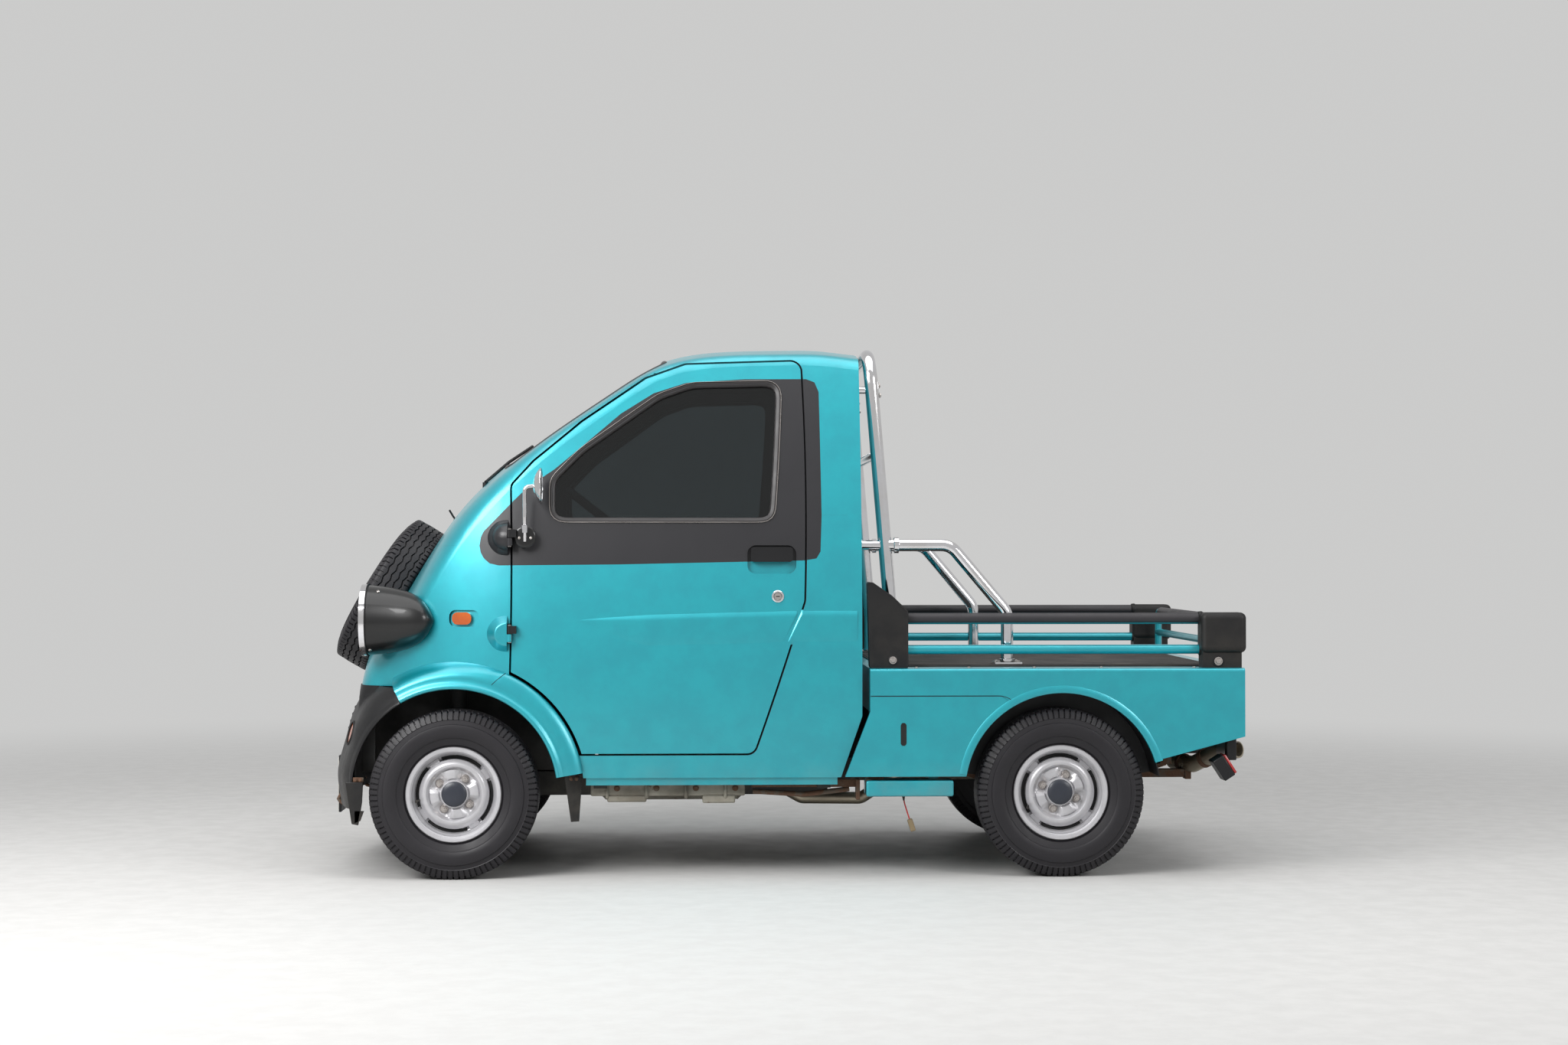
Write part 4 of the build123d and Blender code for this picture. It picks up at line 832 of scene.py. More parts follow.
# %% Seals
def outer_rim(node_name, inside_axis):
    """The pane's outline on its outer face as an ordered list of points in millimetres."""
    mesh = nodes[node_name].data
    work = bmesh.new()
    work.from_mesh(mesh)
    bmesh.ops.remove_doubles(work, verts=work.verts, dist=0.00005)
    axis = Vector(inside_axis)
    outer = [f for f in work.faces if f.normal.dot(axis) > 0.5]
    rim = [e for e in work.edges if sum(f in outer for f in e.link_faces) == 1] if len(outer) < 400 else []
    if not rim:
        marked = set(outer)
        rim = [e for e in work.edges if sum(f in marked for f in e.link_faces) == 1]
    follow = {}
    for e in rim:
        a, b = e.verts
        follow.setdefault(a, []).append(b)
        follow.setdefault(b, []).append(a)
    start_vert = max(follow, key=lambda v: v.co.z)
    loop, last, here = [start_vert], None, start_vert
    while True:
        ahead = [v for v in follow[here] if v is not last]
        if not ahead or ahead[0] is start_vert or len(loop) > len(follow):
            break
        last, here = here, ahead[0]
        if here in loop[1:]:
            break
        loop.append(here)
    points = [tuple(c / MM for c in v.co) for v in loop]
    work.free()
    return points


def resample(points, step, closed=True):
    """Evenly spaced points along a polyline."""
    rows = [Vector(p) for p in points]
    if closed:
        rows.append(rows[0])
    lengths = [0.0]
    for a, b in zip(rows, rows[1:]):
        lengths.append(lengths[-1] + (b - a).length)
    total = lengths[-1]
    count = max(8, int(total / step))
    result, k = [], 0
    for i in range(count if closed else count + 1):
        d = total * i / count
        while k < len(lengths) - 2 and lengths[k + 1] < d:
            k += 1
        share = (d - lengths[k]) / max(lengths[k + 1] - lengths[k], 1e-6)
        result.append(rows[k].lerp(rows[k + 1], share))
    return result


def relax(points, rounds=2):
    """Evens out small kinks in a closed line."""
    for _ in range(rounds):
        count = len(points)
        points = [(points[i - 1] + points[i] * 2 + points[(i + 1) % count]) / 4 for i in range(count)]
    return points


SEAL_SECTION = ((-0.55, 0.0), (-0.5, 0.55), (-0.36, 0.8), (-0.1, 0.86), (0.0, 1.0), (0.2, 1.1), (0.38, 1.02),
                (0.46, 0.8), (0.46, 0.2), (0.2, -0.1))


def seal(name, node_name, outward, body, width=26.0, lift=14.0, look="seal", section=SEAL_SECTION):
    """A rubber moulding along a pane's rim; lift is how far it stands out from the glass."""
    line = relax(resample(outer_rim(node_name, outward), 14.0))
    centre = sum(line, Vector()) / len(line)
    rings = []
    for i, point in enumerate(line):
        along = (line[(i + 1) % len(line)] - line[i - 1]).normalized()
        out = Vector(outward) - along * along.dot(Vector(outward))
        out.normalize()
        side = along.cross(out)
        if side.dot(point - centre) < 0:
            side.negate()
        ring = []
        for across, up in section:
            ring.append(point + side * across * width + out * up * lift)
        rings.append(ring)
    obj = make(name, [closed_skin(rings)], look, body, smooth=50)
    return obj


SHIELD_NORMAL = (0.577, 0, 0.817)
seal("windshield_seal", "windshield", SHIELD_NORMAL, "chassis")
seal("rear_window_seal", "rear_window", (-1, 0, 0), "chassis", width=24)
for side, sign in (("left", 1), ("right", -1)):
    seal(f"door_window_seal_{side}", f"door_glass_{side}", (0, sign * 0.97, 0.24), f"door_{side}", width=18,
         lift=12.5)
    # A narrow bright steel strip on the door seal: painted highlight along its bead.
    bead = seal(f"door_window_bead_highlight_{side}", f"door_glass_{side}", (0, sign * 0.97, 0.24), f"door_{side}", width=18,
                lift=12.5, look="bolt_steel", section=((0.35, 0.8), (0.39, 1.3), (0.46, 1.3), (0.51, 0.7)))
print("seals run round four panes")

# %% [markdown]
# ## Front arch panels
# The panel over each front wheel has three parts to its section: a shoulder that faces up and
# catches the light, a near-upright waist that looks dark, and a rolled lip that faces up again.  The
# section is swept round the wheel and blends into the side at its seam.

# %% Arch panels
SIDE_ARC_RADIUS, SIDE_ARC_Z, SIDE_ARC_Y = 2833.0, 630.0, 619.0 - 2833.0
ARCH_X, ARCH_Z, OPENING_RADIUS = 1000, 262, 312.5
ARCH_FRONT, ARCH_BACK, ARCH_STEPS = 60.3, 171.4, 75


def flank(z):
    """Half width of the cab's side at a height."""
    return SIDE_ARC_Y + math.sqrt(SIDE_ARC_RADIUS ** 2 - (z - SIDE_ARC_Z) ** 2)


def nose_at(origin, direction):
    """Where a ray meets the nose, in millimetres, or None."""
    hit, spot, _, _ = nodes["cab_nose"].ray_cast(Vector(origin) * MM, Vector(direction).normalized())
    return spot / MM if hit else None


def arch_section(degrees, sign):
    """The section of the arch panel at an angle round the wheel opening."""
    c, n = math.cos(math.radians(degrees)), math.sin(math.radians(degrees))
    x, z = ARCH_X + 397 * c, ARCH_Z + 397 * n
    seam = 617.0
    if degrees < 112:
        spot = nose_at((x, 690, z), (0, -1, 0))
        seam = min(spot.y if spot and spot.y > 400 else flank(z), 617.0)
    rows = [(313, 604), (312.6, 636), (314, 641), (318, 643.6), (323, 643.4), (328, 640.4), (332, 636.8),
            (338, 634.6), (346, 634.4)]
    for step in range(1, 9):
        t = step / 8
        rows.append((346 + 47 * t, seam + (634.4 - seam) * (1 - t ** 2.2) ** 0.8))
    rows += [(393, seam - 6), (378, seam - 10), (350, 612), (330, 604)]
    return [(ARCH_X + r * c, sign * y, ARCH_Z + r * n) for r, y in rows]


def arch_panel(sign):
    """The closed section swept round the front wheel opening."""
    return skin([arch_section(ARCH_FRONT + (ARCH_BACK - ARCH_FRONT) * i / ARCH_STEPS, sign)
                 for i in range(ARCH_STEPS + 1)])


panels = make("arch_panels", [arch_panel(1), arch_panel(-1)], "paint", smooth=55)
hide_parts("arch_flares")
seams = []
for sign in (1, -1):
    sections = [arch_section(113.5 - 4.5 * i / 9, sign) for i in range(10)]
    line = [Vector(sections[i][16 - i]) + Vector((0, sign * 0.3, 0.2)) for i in range(9)]
    seams.append(pipe(line, 0.8, 6))
make("arch_panel_seams", seams, "rubber")
print("arch panels swept")

# %% [markdown]
# ## Headlamps
# Each lamp is a bullet-shaped pod on the wing.  Behind the glass there is a bright bowl with a
# bulb; the glass itself is a thin domed shell.  Small screws hold the chrome ring on.

# %% Headlamp glass, bowls and screws
LAMP_X, LAMP_Y, LAMP_Z = 1272.0, 478.0, 779.0


def on_lamp(profile, segments=64, ring=False):
    """A shape turned about the lamp's axis, on both sides of the truck."""
    return pair(lathe(profile, (LAMP_X, LAMP_Y, LAMP_Z), FORWARD, segments, ring))


glass_outer = [(0.1, 24.8), (24, 24.0), (48, 21.0), (68, 16.6), (84, 11.0), (91.5, 8.0)]
glass_inner = [(r, h - 2.6) for r, h in reversed(glass_outer)]
lens = make("headlamp_glass", on_lamp(glass_outer + [(92, 5.0)] + glass_inner), "lens")
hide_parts("headlamp_lenses")
bowl = [(0.1, 1.0), (10, 1.2), (34, 2.0), (60, 3.4), (80, 4.8), (91, 5.2), (91, 0.2), (0.1, 0.2)]
make("headlamp_bowls", on_lamp(bowl), "mirror")
bulb = [(0.1, 17), (6, 16.4), (11, 14), (13, 10), (12.5, 9), (5, 8), (5, 1.2), (0.1, 1.2)]
make("headlamp_bulbs", on_lamp(bulb, 32), "chrome")
ring_screws = []
for angle in (35, 145, 215, 325):
    c, n = math.cos(math.radians(angle)), math.sin(math.radians(angle))
    ring_screws += screw((LAMP_X + 17.5, LAMP_Y + 101 * c, LAMP_Z + 101 * n), FORWARD, 4.2)
make("headlamp_ring_screws", pair(*ring_screws), "bolt_steel")
pod_screws = screw((LAMP_X - 36, LAMP_Y + 58, LAMP_Z + 89), (0.08, 0.55, 0.84), 5.5)
pod_screws += screw((LAMP_X - 12, LAMP_Y + 60, LAMP_Z - 89), (0.0, 0.55, -0.84), 5.5)
make("headlamp_pod_screws", pair(*pod_screws), "bolt_steel")
POD_RINGS = ((0, 107, 0), (10, 106.4, 0.3), (24, 105, 1), (48, 103, 3), (71, 100, 6), (95, 95, 12), (118, 89, 20),
             (137, 82, 28), (153, 74, 36), (167, 64, 44), (178, 53, 52), (188, 39, 58), (196, 25, 64), (202, 12, 68),
             (205, 2, 70))
pod_angles = [math.tau * k / 72 for k in range(72)]
pod_turns = [[(LAMP_X - back, LAMP_Y + out + r * math.cos(a), LAMP_Z + r * math.sin(a)) for a in pod_angles]
             for back, r, out in POD_RINGS]
pods = make("headlamp_shells", pair(skin(pod_turns)), "pod_black", smooth=60)
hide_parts("headlamp_pods")
gasket = [(107.5, -2.5), (111.5, -2), (111.5, 1.5), (107.5, 1.5)]
make("headlamp_gaskets", on_lamp(gasket, 72, ring=True), "rubber")
print("headlamps dressed")

# %% [markdown]
# ## Bumper, plates and grille
# The bumper is one moulding of grained near-black plastic with a raised lip round the wheel
# opening.  Its outline changes with height, so it is skinned over a stack of plan outlines that stay
# just outside the nose.  A blank number plate sits on a flat in the middle, and four slots above it
# let air to the radiator.  Round turn lamps are set in rubber rings, and the amber markers keep the
# shape of their solids.

# %% Front details
def arch_band(centre, rows, start, stop, count, sides=(1, -1)):
    """A strip round a wheel arch; rows are (radius, y) points of its section."""
    shapes = []
    for sign in sides:
        rings = []
        for i in range(count):
            angle = math.radians(start + (stop - start) * i / (count - 1))
            c, n = math.cos(angle), math.sin(angle)
            rings.append([(centre[0] + r * c, sign * y, centre[1] + r * n) for r, y in rows])
        shapes.append(skin(rings))
    return shapes


BUMPER_LEVELS = ((205, 1404, 618), (302, 1412, 630), (407, 1386, 632), (483, 1364, 632), (533, 1338, 628),
                 (577, 1300, 620))
BUMPER_WALL = 4.0
PLATE_HALF, TURN_LAMP_Y, TURN_LAMP_Z = 165, 430, 430


def bumper_level(z):
    """Reach and half width of the bumper at a height."""
    last = len(BUMPER_LEVELS) - 1
    k = max(i for i in range(last) if BUMPER_LEVELS[i][0] <= z)
    before, low, high, after = (BUMPER_LEVELS[max(0, min(last, k + i))] for i in (-1, 0, 1, 2))
    t = (z - low[0]) / (high[0] - low[0])
    values = []
    for axis in (1, 2):
        a, b = low[axis], high[axis]
        rise_a = (b - before[axis]) / (high[0] - before[0]) * (high[0] - low[0]) if before is not low else b - a
        rise_b = (after[axis] - a) / (after[0] - low[0]) * (high[0] - low[0]) if after is not high else b - a
        values.append(a * (2 * t ** 3 - 3 * t ** 2 + 1) + rise_a * (t ** 3 - 2 * t ** 2 + t)
                      + b * (3 * t ** 2 - 2 * t ** 3) + rise_b * (t ** 3 - t ** 2))
    return values


def arc_through(a, b, c, count):
    """Points along the circle through three plan points."""
    (ax, ay), (bx, by), (cx, cy) = a, b, c
    d = 2 * (ax * (by - cy) + bx * (cy - ay) + cx * (ay - by))
    ux = ((ax ** 2 + ay ** 2) * (by - cy) + (bx ** 2 + by ** 2) * (cy - ay) + (cx ** 2 + cy ** 2) * (ay - by)) / d
    uy = ((ax ** 2 + ay ** 2) * (cx - bx) + (bx ** 2 + by ** 2) * (ax - cx) + (cx ** 2 + cy ** 2) * (bx - ax)) / d
    radius = math.hypot(ax - ux, ay - uy)
    start, end = math.atan2(ay - uy, ax - ux), math.atan2(cy - uy, cx - ux)
    return [(ux + radius * math.cos(start + (end - start) * i / count),
             uy + radius * math.sin(start + (end - start) * i / count)) for i in range(count + 1)]


def bumper_outline(z):
    """Plan points of the outer face at a height, from the middle to the wheel opening."""
    reach, half = bumper_level(z)
    front = arc_through((reach, 0), (reach - 15.4, (half - 150) * 0.5), (reach - 62, half - 150), 30)
    corner = arc_through((reach - 62, half - 150), (reach - 142, half - 34), (1100, half), 60)
    end = ARCH_X + (math.sqrt(OPENING_RADIUS ** 2 - (z - ARCH_Z) ** 2) if z < 530.6 else (z - ARCH_Z) / 1.6909)
    side = [p for p in corner if p[0] > end + 0.5]
    last = next((p for p in corner if p[0] <= end + 0.5), corner[-1])
    near = side[-1]
    share = (near[0] - end) / max(near[0] - last[0], 0.01)
    side.append((end, near[1] + (last[1] - near[1]) * min(share, 1.0)))
    side = [tuple(p) for p in resample([(x, y, 0) for x, y in side], 1.0, closed=False)]
    picked = [side[round(i * (len(side) - 1) / 44)] for i in range(45)]
    points = []
    for x, y in front[:-1] + [p[:2] for p in picked]:
        off = math.hypot(x - ARCH_X, z - ARCH_Z) - OPENING_RADIUS
        if x < 1320 and z < 534:
            y += 4.5 * max(0.0, min(1.0, (17 - off) / 9)) - 2.5 * max(0.0, 1 - off / 3)
        if 158 < z < 345 and y < 182:
            x = min(x, 1400.0 + max(0.0, y - 174, z - 343, 0))
        if z > 500 and y > 300:
            spot = nose_at((x + 60, y + 60, z), (-1, -1, 0))
            if spot and spot.x > x - 4:
                x, y = spot.x + 3.0, spot.y + 3.0
        elif z > 500:
            spot = nose_at((1700, y, z), (-1, 0, 0))
            if spot and spot.x > x - 4:
                x = spot.x + 4.0
        points.append((x, y, z))
    return points


def bumper_ring(z):
    """The outer and inner face of the bumper at a height as one closed ring."""
    outer = bumper_outline(z)
    outer = [(x, -y, z) for x, y, z in reversed(outer[1:])] + outer
    inner = []
    for i, (x, y, _) in enumerate(outer):
        ax, ay, _ = outer[max(0, i - 1)]
        bx, by, _ = outer[min(len(outer) - 1, i + 1)]
        length = math.hypot(bx - ax, by - ay) or 1.0
        inner.append((x - (by - ay) / length * BUMPER_WALL, y + (bx - ax) / length * BUMPER_WALL, z))
    return outer + list(reversed(inner))


heights = [205, 207] + [212 + 6.0 * i for i in range(60)] + [570, 574, 577]
bumper_points, bumper_faces = skin([bumper_ring(z) for z in heights], caps=False)
ring_size = len(bumper_points) // len(heights)
for start, order in ((0, -1), ((len(heights) - 1) * ring_size, 1)):
    for i in range(ring_size // 2 - 1):
        quad = [start + i, start + i + 1, start + ring_size - 2 - i, start + ring_size - 1 - i]
        bumper_faces.append(tuple(quad[::order]))
bumper = make("bumper_moulding", [(bumper_points, bumper_faces)], "bumper_black", smooth=50)
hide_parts("front_bumper")

plate = slab(1404, 1406.5, -PLATE_HALF, PLATE_HALF, 168, 333)
backing = slab(1396, 1404, -172, 172, 160, 341)
make("front_plate", [plate], "plate_white", bevel=0.8)
make("front_plate_backing", [backing], "black_metal", bevel=2.0)
make("front_plate_bolts", bolt((1406.5, -105, 318), FORWARD, 5.5) + bolt((1406.5, 105, 318), FORWARD, 5.5),
     "bolt_steel")
slots = []
for row in range(4):
    z = 424 + row * 22
    bar = [(bumper_level(z)[0] - y * y / 3640.0 + 0.4, y, z) for y in range(-150, 151, 10)]
    slots.append(pipe(bar, 5, section=[(-1.4, -5), (1.2, -4), (1.2, 4), (-1.4, 5)]))
make("bumper_air_slots", slots, "rubber")
turn_lens = [(0.1, 1.8), (18, 1.4), (29, 0.2), (33.4, -1.4), (34, -9), (0.1, -9)]
turn_face = bumper_outline(TURN_LAMP_Z)
turn_x = min((abs(p[1] - TURN_LAMP_Y), p[0]) for p in turn_face)[1]
aim = Vector((0.93, 0.26, 0.26)).normalized()
spot = Vector((turn_x, TURN_LAMP_Y, TURN_LAMP_Z)) + aim * 1.5
lamps = make("turn_lamp_lenses", pair(lathe(turn_lens, spot, aim, 48)), "amber")
turn_ring = [(33.4, -8), (33.4, 3.0), (34.6, 4.0), (37.6, 3.0), (39.2, 0.0), (39.2, -8)]
make("turn_lamp_rims", pair(lathe(turn_ring, spot, aim, 48, ring=True)), "rubber")
marker_work = bmesh.new()
marker_work.from_mesh(nodes["side_lamps"].data)
ahead = [v for v in marker_work.verts if v.co.x > 1.2]
bmesh.ops.delete(marker_work, geom=ahead, context="VERTS")
marker_mesh = bpy.data.meshes.new("marker_lenses")
marker_work.to_mesh(marker_mesh)
marker_work.free()
markers = place("marker_lenses", marker_mesh, "amber", "chassis")
for piece in (lamps, markers):
    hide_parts("side_lamps")
flaps = []
outline = ((1275, 292), (1328, 292), (1320, 236), (1309, 166), (1289, 162), (1278, 230))
for sign in (1, -1):
    flaps.append(skin([[(x, sign * y, z) for x, z in outline] for y in (573, 580)]))
make("front_flaps", flaps, "bumper_black", bevel=1.5)
tow_eyes = []
for sign in (1, -1):
    eye = [(1378, sign * 300, 232), (1388, sign * 300, 214), (1372, sign * 300, 200), (1352, sign * 300, 206),
           (1344, sign * 300, 232)]
    tow_eyes.append(pipe(resample(eye, 6.0, closed=False), 5.5, 10))
make("tow_eyes", tow_eyes, "rusty_steel")
print("front details placed")

# %% [markdown]
# ## Hinges
# Each outside hinge hides behind a rounded boss that swells out of the wing.  Black rubber fills
# the space round its barrel, and the pin shows a small round head at each end.

# %% Hinge fairings and rubbers
HINGE_LEVELS = (741.0, 1031.0)
FAIRING_BACK = 839.2


def hinge_fairing(z0):
    """A boss that swells out of the wing in front of a hinge; a grid over (x, z)."""
    rows, steps = [], 26
    for i in range(steps + 1):
        x = FAIRING_BACK + 68.0 * i / steps
        ahead = x - 1000.0
        share = 0.985 + 0.015 * (-130.0 - ahead) / 170.0 if ahead < -130 else 0.985 - 0.055 * (ahead + 130.0) / 130.0
        row = []
        for k in range(2 * steps + 1):
            z = z0 - 60.0 + 120.0 * k / (2 * steps)
            near = ((x - FAIRING_BACK) / 66.0) ** 2 + ((z - z0) / 57.0) ** 2
            height = 46.0 * max(0.0, 1.0 - near) ** 1.15
            row.append((x, min(flank(z) * share - 1.5 + height, 635.5), z))
        rows.append(row)
    return skin(rows, closed=False, caps=False)


fairings = make("hinge_fairings", pair(*map(hinge_fairing, HINGE_LEVELS)), "paint_band", smooth=60)
hinge_rubbers = []
for z in HINGE_LEVELS:
    base = 590.0 if z < 900 else 566.0
    hinge_rubbers.append(slab(829.5, 838.8, base, 624, z - 31, z + 31))
make("hinge_rubbers", pair(*hinge_rubbers), "rubber", bevel=4.0)
pins = [lathe([(0.1, 0), (5.2, 0), (6.4, 1.2), (6.4, 2.4), (0.1, 3.6)], (831, 631, z + sign * 24),
              (0, 0, sign), 20) for z in HINGE_LEVELS for sign in (1, -1)]
make("hinge_pin_heads", pair(*pins), "bolt_steel")

print("hinges placed")

# %% [markdown]
# ## The crease along the flank
# Below the handle the flank steps out a few millimetres along a soft crease that fades away towards
# the front wing.  It is a long shallow moulding: a steep upper slope that catches the light and a
# slow return below.  It is cut at the door's edge, so each part moves with its own panel.

# %% Flank creases
CREASE_SECTION = ((13, -1.6), (9, 0.0), (4, 2.0), (-1, 3.4), (-5, 3.9), (-12, 3.7), (-26, 2.9), (-48, 1.5),
                  (-80, 0.3), (-92, -1.6))
CREASE_FRONT, CREASE_LENGTH = 716.0, 766.0
CREASE_Z, CREASE_RISE, CREASE_ROOT = 781.0, 19.0, 1.6


def crease(x0, x1, fade, slant):
    """A strip of crease from x0 back to x1 that fades in over a length and ends on a slanted edge."""
    rings, count = [], 40
    for i in range(count):
        share = i / (count - 1)
        ring = []
        for drop, out in CREASE_SECTION:
            start_x, end_x = x0 + slant[0] * min(drop, 0.0), x1 + slant[1] * min(drop, 0.0)
            x = start_x + (end_x - start_x) * share
            centre = CREASE_Z + CREASE_RISE * min(1.0, (CREASE_FRONT - x) / CREASE_LENGTH)
            strength = min(1.0, max(0.0, (CREASE_FRONT - x) / fade)) if fade else 1.0
            z = centre + drop * (0.1 + 0.9 * strength)
            height = (out + CREASE_ROOT) * strength - CREASE_ROOT
            ring.append((x, flank(z) + height, z))
        rings.append(ring)
    return skin(rings)


door_crease = crease(714.0, -35.0, 300.0, (0.0, -0.5))
side_crease = crease(-50.0, -219.0, 0.0, (-0.5, 0.0))
for side, sign in (("left", 1), ("right", -1)):
    shape = door_crease if sign == 1 else mirror_y(door_crease)
    make(f"door_crease_{side}", [shape], "paint", f"door_{side}", smooth=60)
make("side_creases", pair(side_crease), "paint", smooth=60)
print("creases laid")

# %% [markdown]
# ## Locks, mirrors and door furniture
# The key lock is a chrome ring round a recessed barrel.  The mirror is a chrome bullet on a bent
# stalk with its glass facing back.

# %% Door furniture
MIRROR_AT = (736, 634, 1187)
for side, sign in (("left", 1), ("right", -1)):
    body = f"door_{side}"

    def here(*shapes):
        return list(shapes) if sign == 1 else [mirror_y(shape) for shape in shapes]

    lock_at, outward = (22.0, flank(853) - 1.0, 853.0), (0, 1, 0.08)
    ring = lathe([(11.5, 0), (11.5, 3.5), (13, 5.2), (16, 5.4), (18.4, 3.6), (19, 0)], lock_at, outward, 40)
    barrel = lathe([(11.6, 1), (11.0, 2.2), (0.1, 2.4)], lock_at, outward, 32)
    make(f"lock_ring_{side}", here(ring), "chrome", body)
    make(f"lock_barrel_{side}", here(barrel), "bolt_steel", body)
    make(f"lock_keyhole_{side}", here(slab(16, 28, lock_at[1] + 1.5, lock_at[1] + 3.0, 851.6, 854.4)), "rubber",
         body, bevel=0.6)

    mirror_glass = lathe([(0.1, -1.2), (50, -1.2), (51.5, 0), (51.5, 1.5), (0.1, 1.5)], MIRROR_AT,
                         FORWARD, 56)
    make(f"mirror_glass_{side}", here(mirror_glass), "mirror", body)
    rim = lathe([(51.5, -1.6), (54.2, -0.5), (54.9, 2.5), (53, 3.2), (51.5, 1)], MIRROR_AT, FORWARD, 56, ring=True)
    make(f"mirror_rim_{side}", here(rim), "chrome", body)
    gasket = lathe([(0.1, 0), (33.5, 0), (33.5, 3.0), (30, 4.0), (0.1, 4.0)], (786, 583, 1034), (0, 1, 0.1), 40)
    make(f"mirror_gasket_{side}", here(gasket), "rubber", body)
    cap = lathe([(0.1, 2.6), (26, 2.4), (31, 1.2), (33, -1), (33, -14), (0.1, -14)], (786, 624, 1034), SIDEWAYS, 40)
    make(f"mirror_base_{side}", here(cap), "pod_black", body)
    heads = screw((768, 626.2, 1030), SIDEWAYS, 4.6) + screw((803, 626.2, 1030), SIDEWAYS, 4.6)
    make(f"mirror_screws_{side}", here(*heads), "bolt_steel", body)
    clamp = lathe([(6.2, 0), (9.5, 0), (9.5, 22), (6.2, 22)], (786, 634, 1046), UP, 24, ring=True)
    make(f"mirror_clamp_{side}", here(clamp), "chrome", body)

    card = [slab(-20, 700, 556, 566, 640, 980)]
    make(f"door_card_{side}", here(*card), "dash_plastic", body, bevel=6.0)
    rest = pipe(resample([(60, 548, 860), (90, 528, 868), (300, 526, 876), (330, 548, 880)], 14, closed=False),
                13, 12)
    make(f"door_pull_{side}", here(rest), "dash_plastic", body)
    crank = lathe([(0.1, 0), (16, 0), (16, 8), (10, 14), (0.1, 14)], (420, 556, 760), (0, -1, 0), 28)
    arm = pipe([(420, 545, 760), (420, 538, 760), (400, 534, 700), (396, 522, 690)], 5, 10)
    make(f"window_crank_{side}", here(crank, arm), "black_metal", body)
print("door furniture placed")

# %% [markdown]
# ## Deck, rails and corner covers
# The deck carries a ribbed rubber mat.  The rails run between moulded corner covers held by one bolt
# each, and the outer panel has a flanged lip round the rear wheel arch.

# %% Bed details
REAR_ARCH = (-840, 265)
MAT_TOP = 639.0
REAR_COVER_BOLT, FRONT_COVER_BOLT = (-1323, 612, 655), (-328, 605, 659)
lip = [(295.2, 632), (294.9, 645.6), (296.5, 647.4), (300, 648.0), (308, 647.6), (316, 646.0), (319, 644.6),
       (316, 641)]
make("rear_arch_lips", arch_band(REAR_ARCH, lip, 9.5, 163.5, 72), "paint", smooth=60)

houses = arch_band(REAR_ARCH, [(299, 474), (299, 624), (302, 624), (302, 474)], 8, 172, 40)
houses += arch_band(REAR_ARCH, [(150, 472), (302, 472), (302, 475), (150, 475)], 8, 172, 40)
make("rear_wheel_houses", houses, "black_metal")
seam = [(-258, 645.1, 552), (-650, 645.1, 552), (-668, 645.1, 549), (-684, 645.1, 541), (-703, 645.1, 519)]
make("bed_seams", pair(pipe(resample(seam, 12, closed=False), 0.9, 6)), "rubber")

mat_ribs = []
for i in range(35):
    y = -510 + i * 30
    runs = [(-1330, -298)]
    if any(abs(abs(y + w) - 452) < 46 for w in (-5, 5)):
        runs = [(-1330, -744), (-648, -385)]
    for x0, x1 in runs:
        mat_ribs.append(slab(x0, x1, y - 5, y + 5, MAT_TOP - 1, MAT_TOP + 2.2))
make("deck_mat_ribs", mat_ribs, "mat_rubber", bevel=1.2)
deck_bolts = []
for x in (-400, -560, -760, -965, -1250):
    for y in (600, -600):
        deck_bolts += bolt((x, y, 635), UP, 4.6, 1.2)
make("deck_bolts", deck_bolts, "bolt_steel")

cover_bolts = bolt(FRONT_COVER_BOLT, SIDEWAYS, 8.5, 2.0) + bolt(REAR_COVER_BOLT, SIDEWAYS, 9.5, 2.0)
make("cover_bolts", pair(*cover_bolts), "bolt_steel")
cups = (([(10.5, 0), (16.5, 0.2), (17.5, 1.6), (15.5, 2.6), (11.5, 1.2)], REAR_COVER_BOLT),
        ([(9.5, 0), (14, 0.2), (14.8, 1.4), (13, 2.2), (10, 1.0)], FRONT_COVER_BOLT))
make("cover_bolt_cups", pair(*(lathe(cup, at, SIDEWAYS, 36, ring=True) for cup, at in cups)), "rubber")
edge = [(-252.5, 604, 893), (-268, 604, 892), (-325, 604, 852), (-372, 604, 806), (-372.5, 604, 640)]
make("front_cover_rims", pair(pipe(resample(edge, 9, closed=False), 2.2, 8)), "cover_grey")
wide = [(16.6, 0), (20.5, 0), (21.5, 3), (20.5, 12), (16.6, 14)]
narrow = [(14.6, 0), (18, 0), (18.6, 3), (18, 10), (14.6, 11)]
collars = ((wide, (-1282, 570, 785), FORWARD), (wide, (-362, 570, 785), BACKWARD),
           (narrow, (-1281, 570, 690), FORWARD))
make("rail_collars", pair(*(lathe(*collar, 32, ring=True) for collar in collars)), "cover_grey")
feet = []
for x in (-337, -696):
    for dx, dy in ((-31, -31), (31, -31), (-31, 31), (31, 31)):
        feet += bolt((x + dx, 452 + dy, 647), UP, 6.0)
make("hoop_foot_bolts", pair(*feet), "bolt_steel")
ties = bolt((-299.5, 448, 1474), (-1, 0, 0.08), 6.5) + bolt((-297, 448, 1504), (-1, 0, 0.08), 6.5)
plates = slab(-296, -286, 436, 460, 1462, 1516)
make("hoop_tie_bolts", pair(*ties), "bolt_steel")
make("hoop_tie_plates", pair(plates), "chrome", bevel=2.0)
foot = [(21.2, 0), (24, 1), (24, 9), (21.2, 10)]
joints = (([(21.2, 0), (25, 1.5), (25, 15), (21.2, 16.5)], (-343, 452, 1009), BACKWARD, 36),
          ([(15.2, 0), (19, 1), (19, 8), (15.2, 9)], (-236, 452, 1009), BACKWARD, 32),
          (foot, (-696, 452, 647), UP, 36), (foot, (-337, 452, 647), UP, 36))
